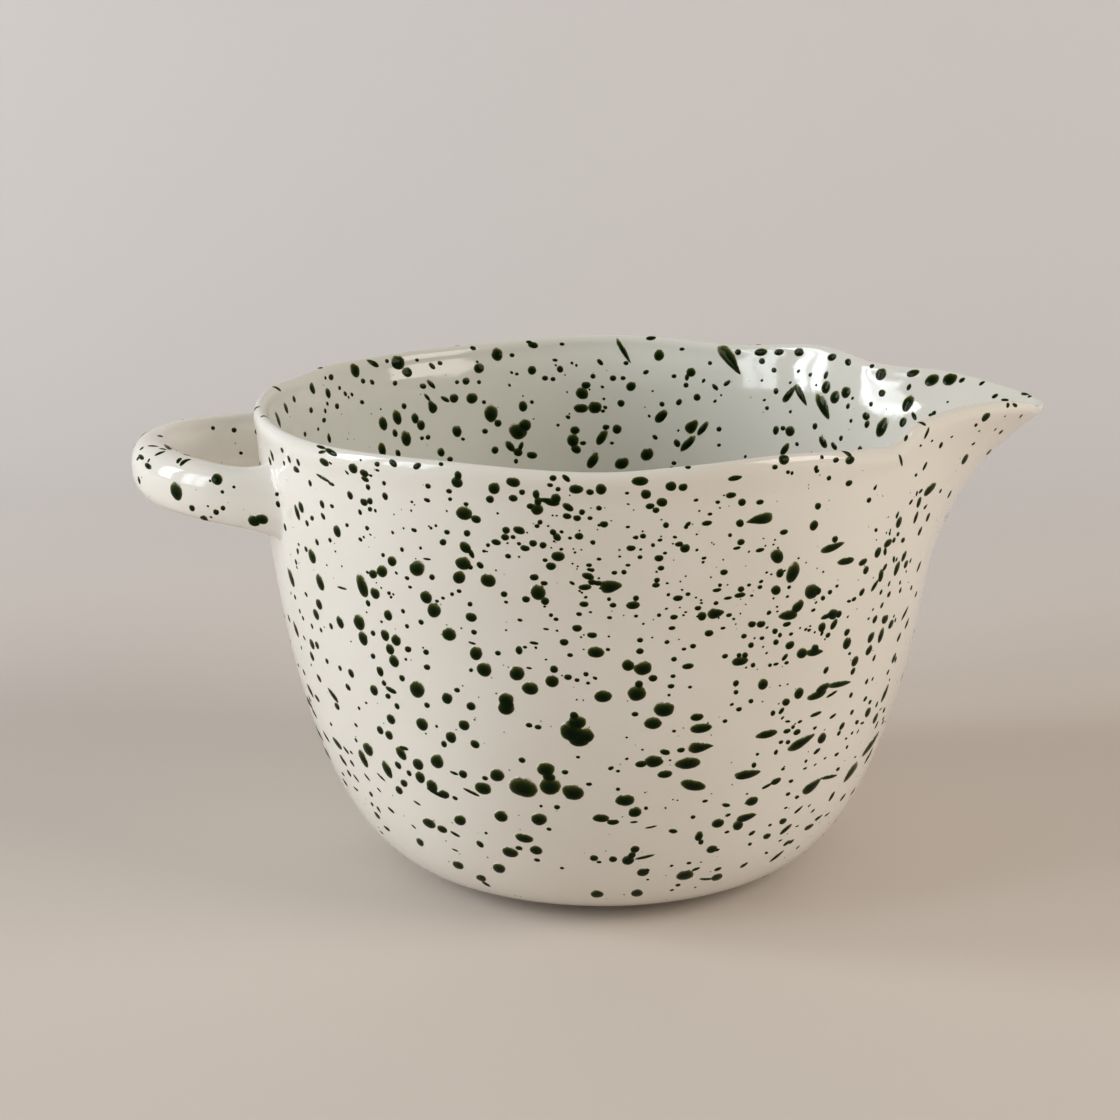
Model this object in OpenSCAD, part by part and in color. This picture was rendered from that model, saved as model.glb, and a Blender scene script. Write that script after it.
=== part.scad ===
// Batter bowl: a deep stoneware mixing bowl with a pouring spout pinched out of its rim
// on one side and a loop handle luted on just below the rim on the other side.
// The clay pieces are the thrown body, its foot ring, the rolled rim, the spout wall,
// the handle strap and the two roots that join the strap to the wall.
// Lengths are in millimetres and angles in degrees. The origin is on the bowl's axis at
// the surface that it stands on, +X points along the spout and +Z points up.

/* [Bowl] */
// Outer radius of the bowl at its rim
rim_r = 91.4; // [86:0.1:100]
// Height of the rim above the surface that the bowl stands on
bowl_h = 125; // [115:1:140]
// Radius of the flat underside
base_r = 51.5; // [48:0.5:56]
// Thickness of the wall just below the rim
wall_t = 5; // [4.2:0.1:6]
// Thickness of the floor
floor_t = 6; // [5:0.1:8]

/* [Foot] */
// Height of the foot ring below the flat underside
foot_h = 3; // [2:0.1:5]
// How far the foot ring sits in from the edge of the flat underside
foot_inset = 7.5; // [5:0.1:9]
// Width of the foot ring where it stands
foot_w = 6; // [4:0.1:8]
// Small slope on both edges of the foot ring
foot_bevel = 0.8; // [0.4:0.1:1.2]

/* [Rim] */
// Height of the rolled rim above the top of the thrown wall
rim_band_h = 7.6; // [7.4:0.1:10]
// How far the rolled rim stands out from the wall on each side
rim_bulge = 0.4; // [0.2:0.1:1.2]
// Height of the rounded top of the rim
rim_round = 3.4; // [2.6:0.1:3.8]
// Highest that the hand-made rim rises above its mean height, at the cheek of the spout
rim_wave = 4.8; // [3:0.1:5.6]

/* [Spout] */
// How far the lip of the spout reaches beyond the rim's circle
spout_reach = 28; // [18:0.1:32]
// How far round, as an angle, the nose of the spout is pinched to the left of its middle
spout_lean = 2.5; // [0:0.5:4]
// How far below the rim the spout starts to swell out of the wall
spout_depth = 45; // [38:0.5:55]
// How far below the rim the spout has its full reach
lip_drop = 4.2; // [3:0.1:6]
// Half the angle of the rim that the spout takes
spout_angle = 32.5; // [28:0.5:36]
// How far the inner channel lies above the outside, measured straight up
spout_floor_t = 2.4; // [1.6:0.1:3]

/* [Handle] */
// How far the handle loop reaches beyond the rim's circle
handle_reach = 33.6; // [28:0.1:42]
// Width of the loop over its outside
handle_w = 76; // [64:1:84]
// Thickness of the strap at its roots, seen from above
handle_t = 10; // [8:0.1:12]
// How much thicker the strap is at the far end of the loop
handle_swell = 3; // [0:0.1:4]
// Height of the strap, seen from the side
handle_h = 16; // [12:0.1:17]
// How far the middle of the strap's roots lies below the rim
handle_drop = 20.5; // [20:0.5:28]
// How much higher the far end of the loop is than its roots
handle_lift = 2.8; // [0:0.1:6]
// How much higher the left root sits than the right one, seen from the spout
handle_tilt = 1.5; // [0:0.1:3]
// How far the roots spread over the wall round the strap
root_flare = 2.8; // [1:0.1:3.6]
// Length over which a root spreads out
root_len = 8; // [6:0.1:10]

/* [Hidden] */

glaze_colour = "#f1ece2";
clay_colour = "#cdbfae";

// Steps round an exact turned shape, along the wall's curve and in a halving search
turn_steps = 128;
curve_steps = 20;
search_steps = 26;
// Stations round the spout and the rest of the rim, and rows up the spout's wall
spout_steps = 26;
circle_steps = 110;
row_steps = 9;
// Points round the rounded top of the rim, round the strap and along it
round_steps = 8;
strap_sides = 18;
strap_steps = 30;
root_steps = 9;

// The wall's curve: how far it runs level past the flat base, as a share of the way to
// the rim, and where its belly pulls it, as shares of the rim's radius and the height
heel_share = 0.276;
belly_r_share = 0.945;
belly_h_share = 0.174;

// The spout: these powers shape how it fades down the wall and narrows along the rim,
// and this share rounds the nose of its lip
fade_power = 1.85;
narrow_power = 1.65;
nose_share = 0.075;
// The inner channel is narrower than the outside by this share
channel_share = 0.06;
// The rim gets thinner towards the lip of the spout by this share
lip_thin_share = 0.25;

// Height of the hand-made rim at azimuths counted from the spout, as shares of rim_wave.
// The rim dips at the lip of the spout and stands highest at the cheek to its right
wave_shares = [[0, -0.34], [9, 0.01], [18, 0.33], [24, 0.24], [31, 0.25], [38, 0.52],
               [45, 0.64], [63, 0.08], [80, 0.36], [94, 0.35], [110, 0.09], [136, 0],
               [150, 0.07], [160, -0.06], [171, 0.12], [190, 0.07], [215, 0], [245, 0.27],
               [269, 0.08], [282, 0.31], [297, 0.48], [314, 0.04], [320, -0.14], [323, 0.1],
               [326, 0.53], [330, 0.74], [338, 1], [346, 0.86], [353, 0.33]];

// The strap's loop is half an ellipse whose centre lies inside the wall
loop_sink_share = 1.2;
// Where the strap ends and its roots begin, as an angle from the far end of the loop
root_angle = 64;
// The strap's section is an oval, a little squarer than an ellipse
oval_power = 0.85;

seat_z = bowl_h - rim_band_h;
lip_z = bowl_h - lip_drop;
spout_low_z = bowl_h - spout_depth;
foot_r = base_r - foot_inset;
loop_x = rim_r - handle_t * loop_sink_share;
loop_a = rim_r + handle_reach - (handle_t + handle_swell) / 2 - loop_x;
loop_b = (handle_w - handle_t) / 2;

// A point on the outer curve of the wall, and the direction that it runs in there
curve = [[base_r, foot_h],
         [base_r + (rim_r - base_r) * heel_share, foot_h],
         [rim_r * belly_r_share, foot_h + (bowl_h - foot_h) * belly_h_share],
         [rim_r, bowl_h]];
function outer_point(t) =
    curve[0] * pow(1 - t, 3) + curve[1] * 3 * t * pow(1 - t, 2)
    + curve[2] * 3 * t * t * (1 - t) + curve[3] * pow(t, 3);
function outer_run(t) =
    (curve[1] - curve[0]) * 3 * pow(1 - t, 2) + (curve[2] - curve[1]) * 6 * t * (1 - t)
    + (curve[3] - curve[2]) * 3 * t * t;

// The inner curve follows the outer one at the wall's thickness
function inner_point(t) =
    let (run = outer_run(t), thick = floor_t + (wall_t - floor_t) * t)
    outer_point(t) + [-run[1], run[0]] * thick / norm(run);

// The share of the way along a curve at which it reaches a height, found by halving
function outer_share(z, low = 0, high = 1, left = search_steps) =
    let (mid = (low + high) / 2)
    left == 0 ? mid
    : outer_point(mid)[1] < z ? outer_share(z, mid, high, left - 1)
    : outer_share(z, low, mid, left - 1);
function inner_share(z, low = 0, high = 1, left = search_steps) =
    let (mid = (low + high) / 2)
    left == 0 ? mid
    : inner_point(mid)[1] < z ? inner_share(z, mid, high, left - 1)
    : inner_share(z, low, mid, left - 1);
function wall_outer(z) = outer_point(outer_share(z))[0];
function wall_inner(z) = inner_point(inner_share(z))[0];

// The heights of the rows up the spout's wall, shared by the body beside it
row_z = [for (j = [0 : row_steps]) spout_low_z + (seat_z - spout_low_z) * j / row_steps];

// How much of the spout's reach is left at an azimuth and at a height
function nose(share) = sqrt(share * share + nose_share * nose_share) - nose_share;
function narrow(azimuth, tight) =
    let (turned = azimuth - spout_lean * (1 - abs(azimuth) / spout_angle),
         share = min(1, nose(abs(turned) / spout_angle * tight)))
    pow(1 - share, narrow_power);
function fade(z) =
    pow(max(0, (z - spout_low_z) / (lip_z - spout_low_z)), fade_power);

// The radius of the outside and of the channel at an azimuth from the spout and a height
function outside_r(azimuth, z) =
    wall_outer(z) + spout_reach * narrow(azimuth, 1) * fade(z);
function inside_r(azimuth, z) =
    wall_inner(z) + spout_reach * narrow(azimuth, 1 + channel_share)
    * fade(z - spout_floor_t);

// The height of the rim at an azimuth, on a smooth curve through the hand-picked places,
// which close round the bowl
wave_count = len(wave_shares);
function wave_place(i) =
    wave_shares[(i + wave_count) % wave_count] + [360 * floor(i / wave_count), 0];
function wave_slope(i) =
    let (from = wave_place(i - 1), to = wave_place(i + 1))
    (to[1] - from[1]) / (to[0] - from[0]);
function wave_step(turn, i = 0) =
    turn <= wave_place(i + 1)[0] || i + 1 == wave_count ? i : wave_step(turn, i + 1);
function rim_z(azimuth) =
    let (turn = (azimuth + 360) % 360, i = wave_step(turn),
         from = wave_place(i), to = wave_place(i + 1), width = to[0] - from[0],
         s = (turn - from[0]) / width)
    bowl_h + rim_wave
    * (from[1] * (2 * pow(s, 3) - 3 * pow(s, 2) + 1) + to[1] * (3 * pow(s, 2) - 2 * pow(s, 3))
       + width * (wave_slope(i) * (pow(s, 3) - 2 * pow(s, 2) + s)
                  + wave_slope(i + 1) * (pow(s, 3) - pow(s, 2))));

function polar(r, azimuth, z) = [r * cos(azimuth), r * sin(azimuth), z];

// Azimuths of the stations round the whole rim, finer along the spout
spout_azimuths = [for (i = [0 : spout_steps]) spout_angle * (2 * i / spout_steps - 1)];
circle_azimuths = [for (i = [1 : circle_steps - 1])
                   spout_angle + (360 - 2 * spout_angle) * i / circle_steps];
rim_azimuths = concat(spout_azimuths, circle_azimuths);

// Faces of a skin over rings of equal length: wrap closes it round, else caps end it
function skin_faces(rings, sides, wrap) =
    let (last = wrap ? rings : rings - 1)
    concat(
        [for (i = [0 : last - 1], j = [0 : sides - 1], half = [0, 1])
            let (a = i * sides + j, b = i * sides + (j + 1) % sides,
                 c = ((i + 1) % rings) * sides + (j + 1) % sides,
                 d = ((i + 1) % rings) * sides + j)
            half == 0 ? [a, c, b] : [a, d, c]],
        wrap ? []
        : concat([for (j = [1 : sides - 2]) [0, j, j + 1]],
                 [for (j = [1 : sides - 2])
                    let (start = (rings - 1) * sides) [start, start + j + 1, start + j]]));

module skin(rings, wrap) {
    polyhedron([for (ring = rings, p = ring) p],
               skin_faces(len(rings), len(rings[0]), wrap));
}

// Half of the wall's section: up the outside, down the inside and across the floor
module body_section() {
    outer_low = [for (i = [0 : curve_steps - 1])
                 outer_point(outer_share(spout_low_z) * i / curve_steps)];
    inner_low = [for (i = [0 : curve_steps - 1])
                 inner_point(inner_share(spout_low_z) * i / curve_steps)];
    outer_high = [for (z = row_z) [wall_outer(z), z]];
    inner_high = [for (z = row_z) [wall_inner(z), z]];
    inner_up = concat(inner_low, inner_high);
    polygon(concat([[0, foot_h]], outer_low, outer_high,
                   [for (i = [len(inner_up) - 1 : -1 : 0]) inner_up[i]],
                   [[0, foot_h + floor_t]]));
}

module bowl_body() {
    color(glaze_colour)
    difference() {
        rotate_extrude($fn = turn_steps) body_section();
        // The window that the spout's wall fills, between two upright planes
        translate([0, 0, spout_low_z])
        linear_extrude(rim_band_h + seat_z - spout_low_z)
        polygon([[0, 0],
                 2 * rim_r * [cos(spout_angle), -sin(spout_angle)],
                 2 * rim_r * [1, 0],
                 2 * rim_r * [cos(spout_angle), sin(spout_angle)]]);
    }
}

module foot_ring() {
    color(clay_colour)
    rotate_extrude($fn = turn_steps)
    polygon([[foot_r - foot_w + foot_bevel, 0], [foot_r - foot_bevel, 0],
             [foot_r, foot_bevel], [foot_r, foot_h],
             [foot_r - foot_w, foot_h], [foot_r - foot_w, foot_bevel]]);
}

// The middle of the wall at an azimuth and a height, as [radius, height]
function wall_middle(azimuth, z) = [(outside_r(azimuth, z) + inside_r(azimuth, z)) / 2, z];

// One ring of the rim: up the outside, over the rounded top, which leans out with the
// wall's middle and gets thinner at the lip, and down the inside
function rim_ring(azimuth) =
    let (thin = 1 - lip_thin_share * narrow(azimuth, 1),
         high = rim_round * thin, round_z = rim_z(azimuth) - high,
         run = wall_middle(azimuth, round_z) - wall_middle(azimuth, seat_z),
         up = run / norm(run), across = [up[1], -up[0]],
         half = thin * ((outside_r(azimuth, round_z) - inside_r(azimuth, round_z)) / 2
                        * up[1] + rim_bulge),
         edge_z = round_z + across[1] * half,
         edge = [outside_r(azimuth, edge_z) + rim_bulge, edge_z],
         middle = edge - across * half,
         out_z = (seat_z + edge_z) / 2, in_z = (seat_z + middle[1] - across[1] * half) / 2)
    concat(
        [polar(outside_r(azimuth, seat_z), azimuth, seat_z),
         polar(outside_r(azimuth, out_z) + rim_bulge * 3 / 4, azimuth, out_z)],
        [for (k = [0 : round_steps])
            let (a = 180 * k / round_steps, p = middle + across * half * cos(a) + up * high * sin(a))
            polar(p[0], azimuth, p[1])],
        [polar(inside_r(azimuth, in_z) - rim_bulge * 3 / 4, azimuth, in_z),
         polar(inside_r(azimuth, seat_z), azimuth, seat_z)]);

module rolled_rim() {
    color(glaze_colour) skin([for (a = rim_azimuths) rim_ring(a)], true);
}

// One ring of the spout's wall at an azimuth: up the outside and down the channel
function spout_ring(azimuth) = concat(
    [for (z = row_z) polar(outside_r(azimuth, z), azimuth, z)],
    [for (j = [row_steps : -1 : 0])
        polar(inside_r(azimuth, row_z[j]), azimuth, row_z[j])]);

// The two ends of the spout's wall are strips between its two curves
module pouring_spout() {
    rings = [for (a = spout_azimuths) spout_ring(a)];
    sides = 2 * (row_steps + 1);
    last = (len(rings) - 1) * sides;
    ends = [for (j = [0 : row_steps - 1], half = [0, 1])
            let (a = j, b = j + 1, c = sides - 2 - j, d = sides - 1 - j)
            half == 0 ? [a, b, c] : [a, c, d]];
    skins = [for (i = [0 : len(rings) - 2], j = [0 : sides - 1], half = [0, 1])
             let (a = i * sides + j, b = i * sides + (j + 1) % sides)
             half == 0 ? [a, b + sides, b] : [a, a + sides, b + sides]];
    color(glaze_colour)
    polyhedron([for (ring = rings, p = ring) p],
               concat(skins, ends, [for (f = ends) [last + f[0], last + f[2], last + f[1]]]));
}

// The strap's middle line, at an angle from the far end of the loop
function loop_point(a) =
    [-loop_x - loop_a * cos(a), loop_b * sin(a),
     bowl_h - handle_drop + handle_lift * cos(a) + handle_tilt * (1 + sin(a)) / 2];
function strap_t(a) = handle_t + handle_swell * pow(cos(a), 2);
function loop_side(a) =
    let (v = [-cos(a) * loop_b, sin(a) * loop_a]) [v[0], v[1], 0] / norm(v);

// A point on the strap's oval, spread near the wall by as much as the root flares there
function oval(a, turn, spread) =
    let (c = cos(turn), s = sin(turn))
    loop_point(a)
    + loop_side(a) * sign(c) * pow(abs(c), oval_power) * (strap_t(a) / 2 + spread)
    + [0, 0, sign(s) * pow(abs(s), oval_power) * (handle_h / 2 + spread)];
function root_spread(a, turn) =
    let (p = oval(a, turn, 0), away = norm([p[0], p[1]]) - wall_outer(p[2]))
    root_flare * (1 - sqrt(1 - pow(1 - min(1, max(0, away / root_len)), 2)));
function strap_ring(a, flared) =
    [for (k = [0 : strap_sides - 1])
        let (turn = 360 * k / strap_sides)
        oval(a, turn, flared ? root_spread(a, turn) - root_spread(root_angle, turn) : 0)];

module handle_strap() {
    color(glaze_colour)
    skin([for (i = [0 : strap_steps]) strap_ring(root_angle * (2 * i / strap_steps - 1), false)],
         false);
}

// A root runs on from the strap into the wall and is cut off by the wall's own curve
module handle_root(side) {
    rings = [for (i = [0 : root_steps])
             strap_ring(side * (root_angle + (90 - root_angle) * i / root_steps), true)];
    color(glaze_colour)
    difference() {
        skin(side > 0 ? rings : [for (i = [root_steps : -1 : 0]) rings[i]], false);
        rotate_extrude($fn = turn_steps)
        polygon(concat([[0, spout_low_z]], [for (z = row_z) [wall_outer(z), z]],
                       [[rim_r + rim_bulge, seat_z], [rim_r + rim_bulge, bowl_h],
                        [0, bowl_h]]));
    }
}
module handle_root_front() { handle_root(-1); }
module handle_root_back() { handle_root(1); }

bowl_body();
foot_ring();
rolled_rim();
pouring_spout();
handle_strap();
handle_root_front();
handle_root_back();
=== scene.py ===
# %% [markdown]
# # A batter bowl under a splattered glaze
#
# The bowl is thrown stoneware. Its rim is rolled over, a pouring spout is pulled out of
# one side and a strap handle is luted on opposite. The whole bowl is dipped in a creamy
# white glaze, and a brush loaded with a dark green glaze is then flicked at it, so that
# the kiln melts the splashes into low shiny drops. Only the foot ring is wiped bare.
#
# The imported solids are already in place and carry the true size. This lesson lays a
# finer skin over each of them, melts the drops onto that skin and mixes the glazes.

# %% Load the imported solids
import math
import random

import bpy
import numpy as np
from mathutils import Matrix, Vector
from mathutils.bvhtree import BVHTree
from mathutils.interpolate import poly_3d_calc
from mathutils.kdtree import KDTree


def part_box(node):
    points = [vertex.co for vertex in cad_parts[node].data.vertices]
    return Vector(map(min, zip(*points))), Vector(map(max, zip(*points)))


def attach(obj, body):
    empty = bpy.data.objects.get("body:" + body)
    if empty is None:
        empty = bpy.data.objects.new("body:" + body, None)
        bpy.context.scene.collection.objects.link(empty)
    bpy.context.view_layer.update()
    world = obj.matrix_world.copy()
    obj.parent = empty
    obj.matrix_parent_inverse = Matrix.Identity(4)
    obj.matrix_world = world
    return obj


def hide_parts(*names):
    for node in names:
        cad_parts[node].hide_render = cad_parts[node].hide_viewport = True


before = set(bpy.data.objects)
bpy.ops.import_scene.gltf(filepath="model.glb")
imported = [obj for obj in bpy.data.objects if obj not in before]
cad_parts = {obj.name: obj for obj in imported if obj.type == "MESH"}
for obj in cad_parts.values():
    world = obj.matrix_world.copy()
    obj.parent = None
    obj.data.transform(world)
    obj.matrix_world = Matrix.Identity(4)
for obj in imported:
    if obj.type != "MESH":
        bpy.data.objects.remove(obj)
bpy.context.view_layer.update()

mm = 0.001
print("Solids:", sorted(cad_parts))

# %% [markdown]
# ## The camera
#
# The photograph is taken from a little above the rim, through a long lens. The place of
# the lens could be guessed, but a bowl gives it away: its round rim and foot turn into
# two ellipses, and how flat each looks says how high the lens stands. The few numbers
# below come from a fit to those ellipses and to the outline. The camera comes first,
# because the drops of the photograph are placed through it later on.

# %% Camera
image_px = 1120
sensor_mm = 36
focal_px = 2240
camera_place = Vector((-10.9, -583.4, 239.5)) * mm
camera_pitch = math.radians(15.27)
camera_roll = 0.0022

camera_turn = (Matrix.Rotation(math.pi / 2 - camera_pitch, 3, "X")
               @ Matrix.Rotation(-camera_roll, 3, "Z"))
camera = bpy.data.objects.new("camera", bpy.data.cameras.new("camera"))
camera.data.sensor_fit = "HORIZONTAL"
camera.data.sensor_width = sensor_mm
camera.data.lens = sensor_mm * focal_px / image_px
camera.matrix_world = Matrix.Translation(camera_place) @ camera_turn.to_4x4()
bpy.context.scene.collection.objects.link(camera)
bpy.context.scene.camera = camera
print("Lens", round(camera.data.lens), "mm, looking down", round(math.degrees(camera_pitch), 1))

# %% [markdown]
# ## The wall's curve
#
# A thrown wall is one smooth sweep from the heel up to the rim, so a single cubic curve
# draws it. The inner face could be the same curve made smaller, but then the wall would
# be too thin at the heel. It follows the outer face at the wall's own thickness instead.

# %% Sizes of the bowl
rim_r, bowl_h, base_r = 91.4 * mm, 125 * mm, 51.5 * mm
wall_t, floor_t = 5 * mm, 6 * mm
foot_r, foot_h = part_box("foot_ring")[1].x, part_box("foot_ring")[1].z
foot_w = 6 * mm
seat_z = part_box("bowl_body")[1].z
spout_low_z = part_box("pouring_spout")[0].z
heel_share, belly_r_share, belly_h_share = 0.276, 0.945, 0.174

share = np.linspace(0, 1, 1201)[:, None]
heel = (base_r + (rim_r - base_r) * heel_share, foot_h)
belly = (rim_r * belly_r_share, foot_h + (bowl_h - foot_h) * belly_h_share)
outer_wall = ((1 - share)**3 * (base_r, foot_h) + 3 * share * (1 - share)**2 * heel
              + 3 * share**2 * (1 - share) * belly + share**3 * (rim_r, bowl_h))
wall_run = np.gradient(outer_wall, axis=0)
wall_run /= np.linalg.norm(wall_run, axis=1, keepdims=True)
inner_wall = outer_wall + (np.stack([-wall_run[:, 1], wall_run[:, 0]], 1)
                           * (floor_t + (wall_t - floor_t) * share))
print("Wall curve from", np.round(outer_wall[0] / mm, 1), "to", np.round(outer_wall[-1] / mm, 1))

# %% [markdown]
# ## The spout and the rim, as rules
#
# A potter pulls the spout out of the soft wall with one wet finger. The wall swells out
# more the higher it stands, and less the further it is from the middle of the spout. Two
# powers say just that, so the spout needs no outline of its own. The hand-made rim rises
# and falls on its way round. Waves of a formula would look too even, so the curve runs
# smoothly through a few heights that were read off the photograph.

# %% Spout and rim rules
spout_reach, spout_lean, spout_angle = 28 * mm, 2.5, 32.5
spout_floor_t, lip_drop = 2.4 * mm, 4.2 * mm
fade_power, narrow_power, nose_share, channel_share = 1.85, 1.65, 0.075, 0.06
rim_round, rim_wave, lip_thin_share = 3.4 * mm, 4.8 * mm, 0.25
rim_bulge, rim_flare, flare_h, flare_power = 0.3 * mm, 1.7 * mm, 13 * mm, 1.35
lip_z = bowl_h - lip_drop
wave_places = [0, 9, 18, 24, 31, 38, 45, 63, 80, 94, 110, 136, 150, 160, 171, 190, 215, 245,
               269, 282, 297, 314, 320, 323, 326, 330, 338, 346, 353]
wave_shares = [-0.34, 0.01, 0.33, 0.24, 0.25, 0.52, 0.64, 0.08, 0.36, 0.35, 0.09, 0, 0.07,
               -0.06, 0.12, 0.07, 0, 0.27, 0.08, 0.31, 0.48, 0.04, -0.14, 0.1, 0.53, 0.74, 1,
               0.86, 0.33]


def narrow(azimuth, tight):
    """How much of the spout is left at an azimuth in degrees from its middle."""
    turned = np.abs(azimuth - spout_lean * (1 - np.abs(azimuth) / spout_angle))
    away = np.hypot(turned / spout_angle * tight, nose_share) - nose_share
    return (1 - np.minimum(1, away))**narrow_power


def fade(z):
    """How much of the spout is left at a height."""
    return np.maximum(0, (z - spout_low_z) / (lip_z - spout_low_z))**fade_power


def outside_r(azimuth, z):
    """Radius of the outer face."""
    wall = np.interp(z, outer_wall[:, 1], outer_wall[:, 0])
    return wall + spout_reach * narrow(azimuth, 1) * fade(z)


def inside_r(azimuth, z):
    """Radius of the inner face."""
    wall = np.interp(z, inner_wall[:, 1], inner_wall[:, 0])
    return wall + spout_reach * narrow(azimuth, 1 + channel_share) * fade(z - spout_floor_t)


def flare(z):
    """How far the inner face opens outwards below the crest, so that it catches light."""
    return rim_flare * np.clip((z - bowl_h + flare_h) / flare_h, 0, 1.3)**flare_power


def rim_z(azimuth):
    """Height of the crest of the rim."""
    places = np.array([p - 360 for p in wave_places[-2:]] + wave_places
                      + [p + 360 for p in wave_places[:2]])
    shares = np.array(wave_shares[-2:] + wave_shares + wave_shares[:2])
    slopes = (shares[2:] - shares[:-2]) / (places[2:] - places[:-2])
    places, shares = places[1:-1], shares[1:-1]
    turn = np.mod(azimuth, 360)
    i = np.searchsorted(places, turn, side="right") - 1
    width = places[i + 1] - places[i]
    s = (turn - places[i]) / width
    level = shares[i] * (2 * s**3 - 3 * s**2 + 1) + shares[i + 1] * (3 * s**2 - 2 * s**3)
    lean = slopes[i] * (s**3 - 2 * s**2 + s) + slopes[i + 1] * (s**3 - s**2)
    return bowl_h + rim_wave * (level + width * lean)


print("Lip of the spout at", round(float(outside_r(spout_lean, lip_z)) / mm, 1), "mm")

# %% [markdown]
# ## One skin for the whole vessel
#
# Glaze runs over the joins of body, rim and spout, so no seam may show. Three separate
# meshes could be smoothed at their edges by hand. It is safer to work out one closed
# grid of points for the whole vessel, from the middle of its underside up the outside,
# over the rim and down to the middle of its floor, and to cut the pieces out of it.
# Each column of the grid is one azimuth and each row is one station along the section.

# %% Rows of the section
spout_columns, other_columns = 66, 236
flat_rows, low_rows, high_rows, band_rows, cap_rows = 10, 26, 22, 6, 16
centre_share = 0.04
azimuths = np.concatenate([np.linspace(-spout_angle, spout_angle, spout_columns + 1),
                           np.linspace(spout_angle, 360 - spout_angle, other_columns + 1)[1:-1]])
azimuths = (azimuths + 180) % 360 - 180
columns = len(azimuths)
rows = []
marks = {}


def add_row(r, z):
    """Adds a station of the section, the same all round or a value for each azimuth."""
    rows.append((np.broadcast_to(r, columns), np.broadcast_to(z, columns)))


low_share = float(np.interp(spout_low_z, outer_wall[:, 1], share[:, 0]))
inner_low_share = float(np.interp(spout_low_z, inner_wall[:, 1], share[:, 0]))
for s in np.linspace(centre_share, 1, flat_rows)[:-1]:
    add_row(base_r * s, foot_h)
for s in np.linspace(0, low_share, low_rows)[:-1]:
    add_row(*[np.interp(s, share[:, 0], outer_wall[:, k]) for k in (0, 1)])
marks["low_out"] = len(rows)
for z in np.linspace(spout_low_z, seat_z, high_rows):
    add_row(outside_r(azimuths, z), z)
marks["seat_out"] = len(rows) - 1

# %% [markdown]
# The rim leans with the middle of the wall and gets thinner towards the lip. Its outer
# band swells only faintly out of the wall and its top is half an oval. The inner face
# opens outwards over its last few millimetres, as a finger leaves it when the rim is
# rolled, and that slope is what mirrors a window back to someone who looks down into it.

# %% Rows of the rim
thin = 1 - lip_thin_share * narrow(azimuths, 1)
round_z = rim_z(azimuths) - rim_round * thin
lean_r = (outside_r(azimuths, round_z) + inside_r(azimuths, round_z)
          - outside_r(azimuths, seat_z) - inside_r(azimuths, seat_z)) / 2
lean_length = np.hypot(lean_r, round_z - seat_z)
up_r, up_z = lean_r / lean_length, (round_z - seat_z) / lean_length
half = thin * ((outside_r(azimuths, round_z) - inside_r(azimuths, round_z)
                - flare(round_z)) / 2 * up_z + rim_bulge / 2)
edge_z = round_z - up_r * half
edge_r = outside_r(azimuths, edge_z) + rim_bulge
middle_r, middle_z = edge_r - up_z * half, edge_z + up_r * half


def soft(s):
    """Eases a share of the way from 0 to 1, level at both ends."""
    return s * s * (3 - 2 * s)


for k in range(1, band_rows):
    z = seat_z + (edge_z - seat_z) * k / band_rows
    add_row(outside_r(azimuths, z) + rim_bulge * soft(k / band_rows), z)
for a in np.linspace(0, math.pi, cap_rows + 1):
    add_row(middle_r + up_z * half * math.cos(a) + up_r * rim_round * thin * math.sin(a),
            middle_z - up_r * half * math.cos(a) + up_z * rim_round * thin * math.sin(a))
inner_edge_r, inner_edge_z = rows[-1]
for k in range(band_rows - 1, 0, -1):
    z = seat_z + (inner_edge_z - seat_z) * k / band_rows
    roll = inside_r(azimuths, inner_edge_z) + flare(inner_edge_z) - inner_edge_r
    add_row(inside_r(azimuths, z) + flare(z) - roll * soft(k / band_rows), z)

marks["seat_in"] = len(rows)
for z in np.linspace(seat_z, spout_low_z, high_rows):
    add_row(inside_r(azimuths, z) + flare(z), z)
marks["low_in"] = len(rows) - 1
for s in np.linspace(inner_low_share, 0, low_rows)[1:]:
    add_row(*[np.interp(s, share[:, 0], inner_wall[:, k]) for k in (0, 1)])
for s in np.linspace(1, centre_share, flat_rows)[1:]:
    add_row(inner_wall[0, 0] * s, inner_wall[0, 1])
print(columns, "columns and", len(rows), "rows; the pieces part at rows", marks)

# %% [markdown]
# A hand-made wall is never quite true. A sum of a few slow waves that close round the
# bowl gives it the soft swells that bend the light, and it stays a fraction of a
# millimetre inside the solid, which leaves room for the drops.

# %% The vessel's grid
skin_inset, crest_inset, lip_inset = 0.45 * mm, 0.2 * mm, 0.62 * mm
uneven_size, uneven_gain = 0.2 * mm, 1.6
outer_seed, inner_seed = 5, 8
whole_turn = 6.3
uneven_waves = ((2, 1.1), (3, 1.9), (5, 1.4), (7, 2.6), (9, 2.2), (13, 3.4), (17, 3))


def uneven(turn, rise, seed):
    """Soft swells between -1 and 1 at an angle in radians and a share of the height."""
    draw = random.Random(seed)
    total = np.zeros(np.broadcast(turn, rise).shape)
    for around, along in uneven_waves:
        total += np.cos(around * turn + draw.uniform(0, whole_turn)) \
            * np.cos(math.pi * along * rise + draw.uniform(0, whole_turn))
    return total / len(uneven_waves) * uneven_gain


def grid_normals(points):
    """Normals of a grid that closes round its first axis."""
    around = np.roll(points, -1, 0) - np.roll(points, 1, 0)
    normals = np.cross(around, np.gradient(points, axis=1))
    return normals / np.linalg.norm(normals, axis=2, keepdims=True)


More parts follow.
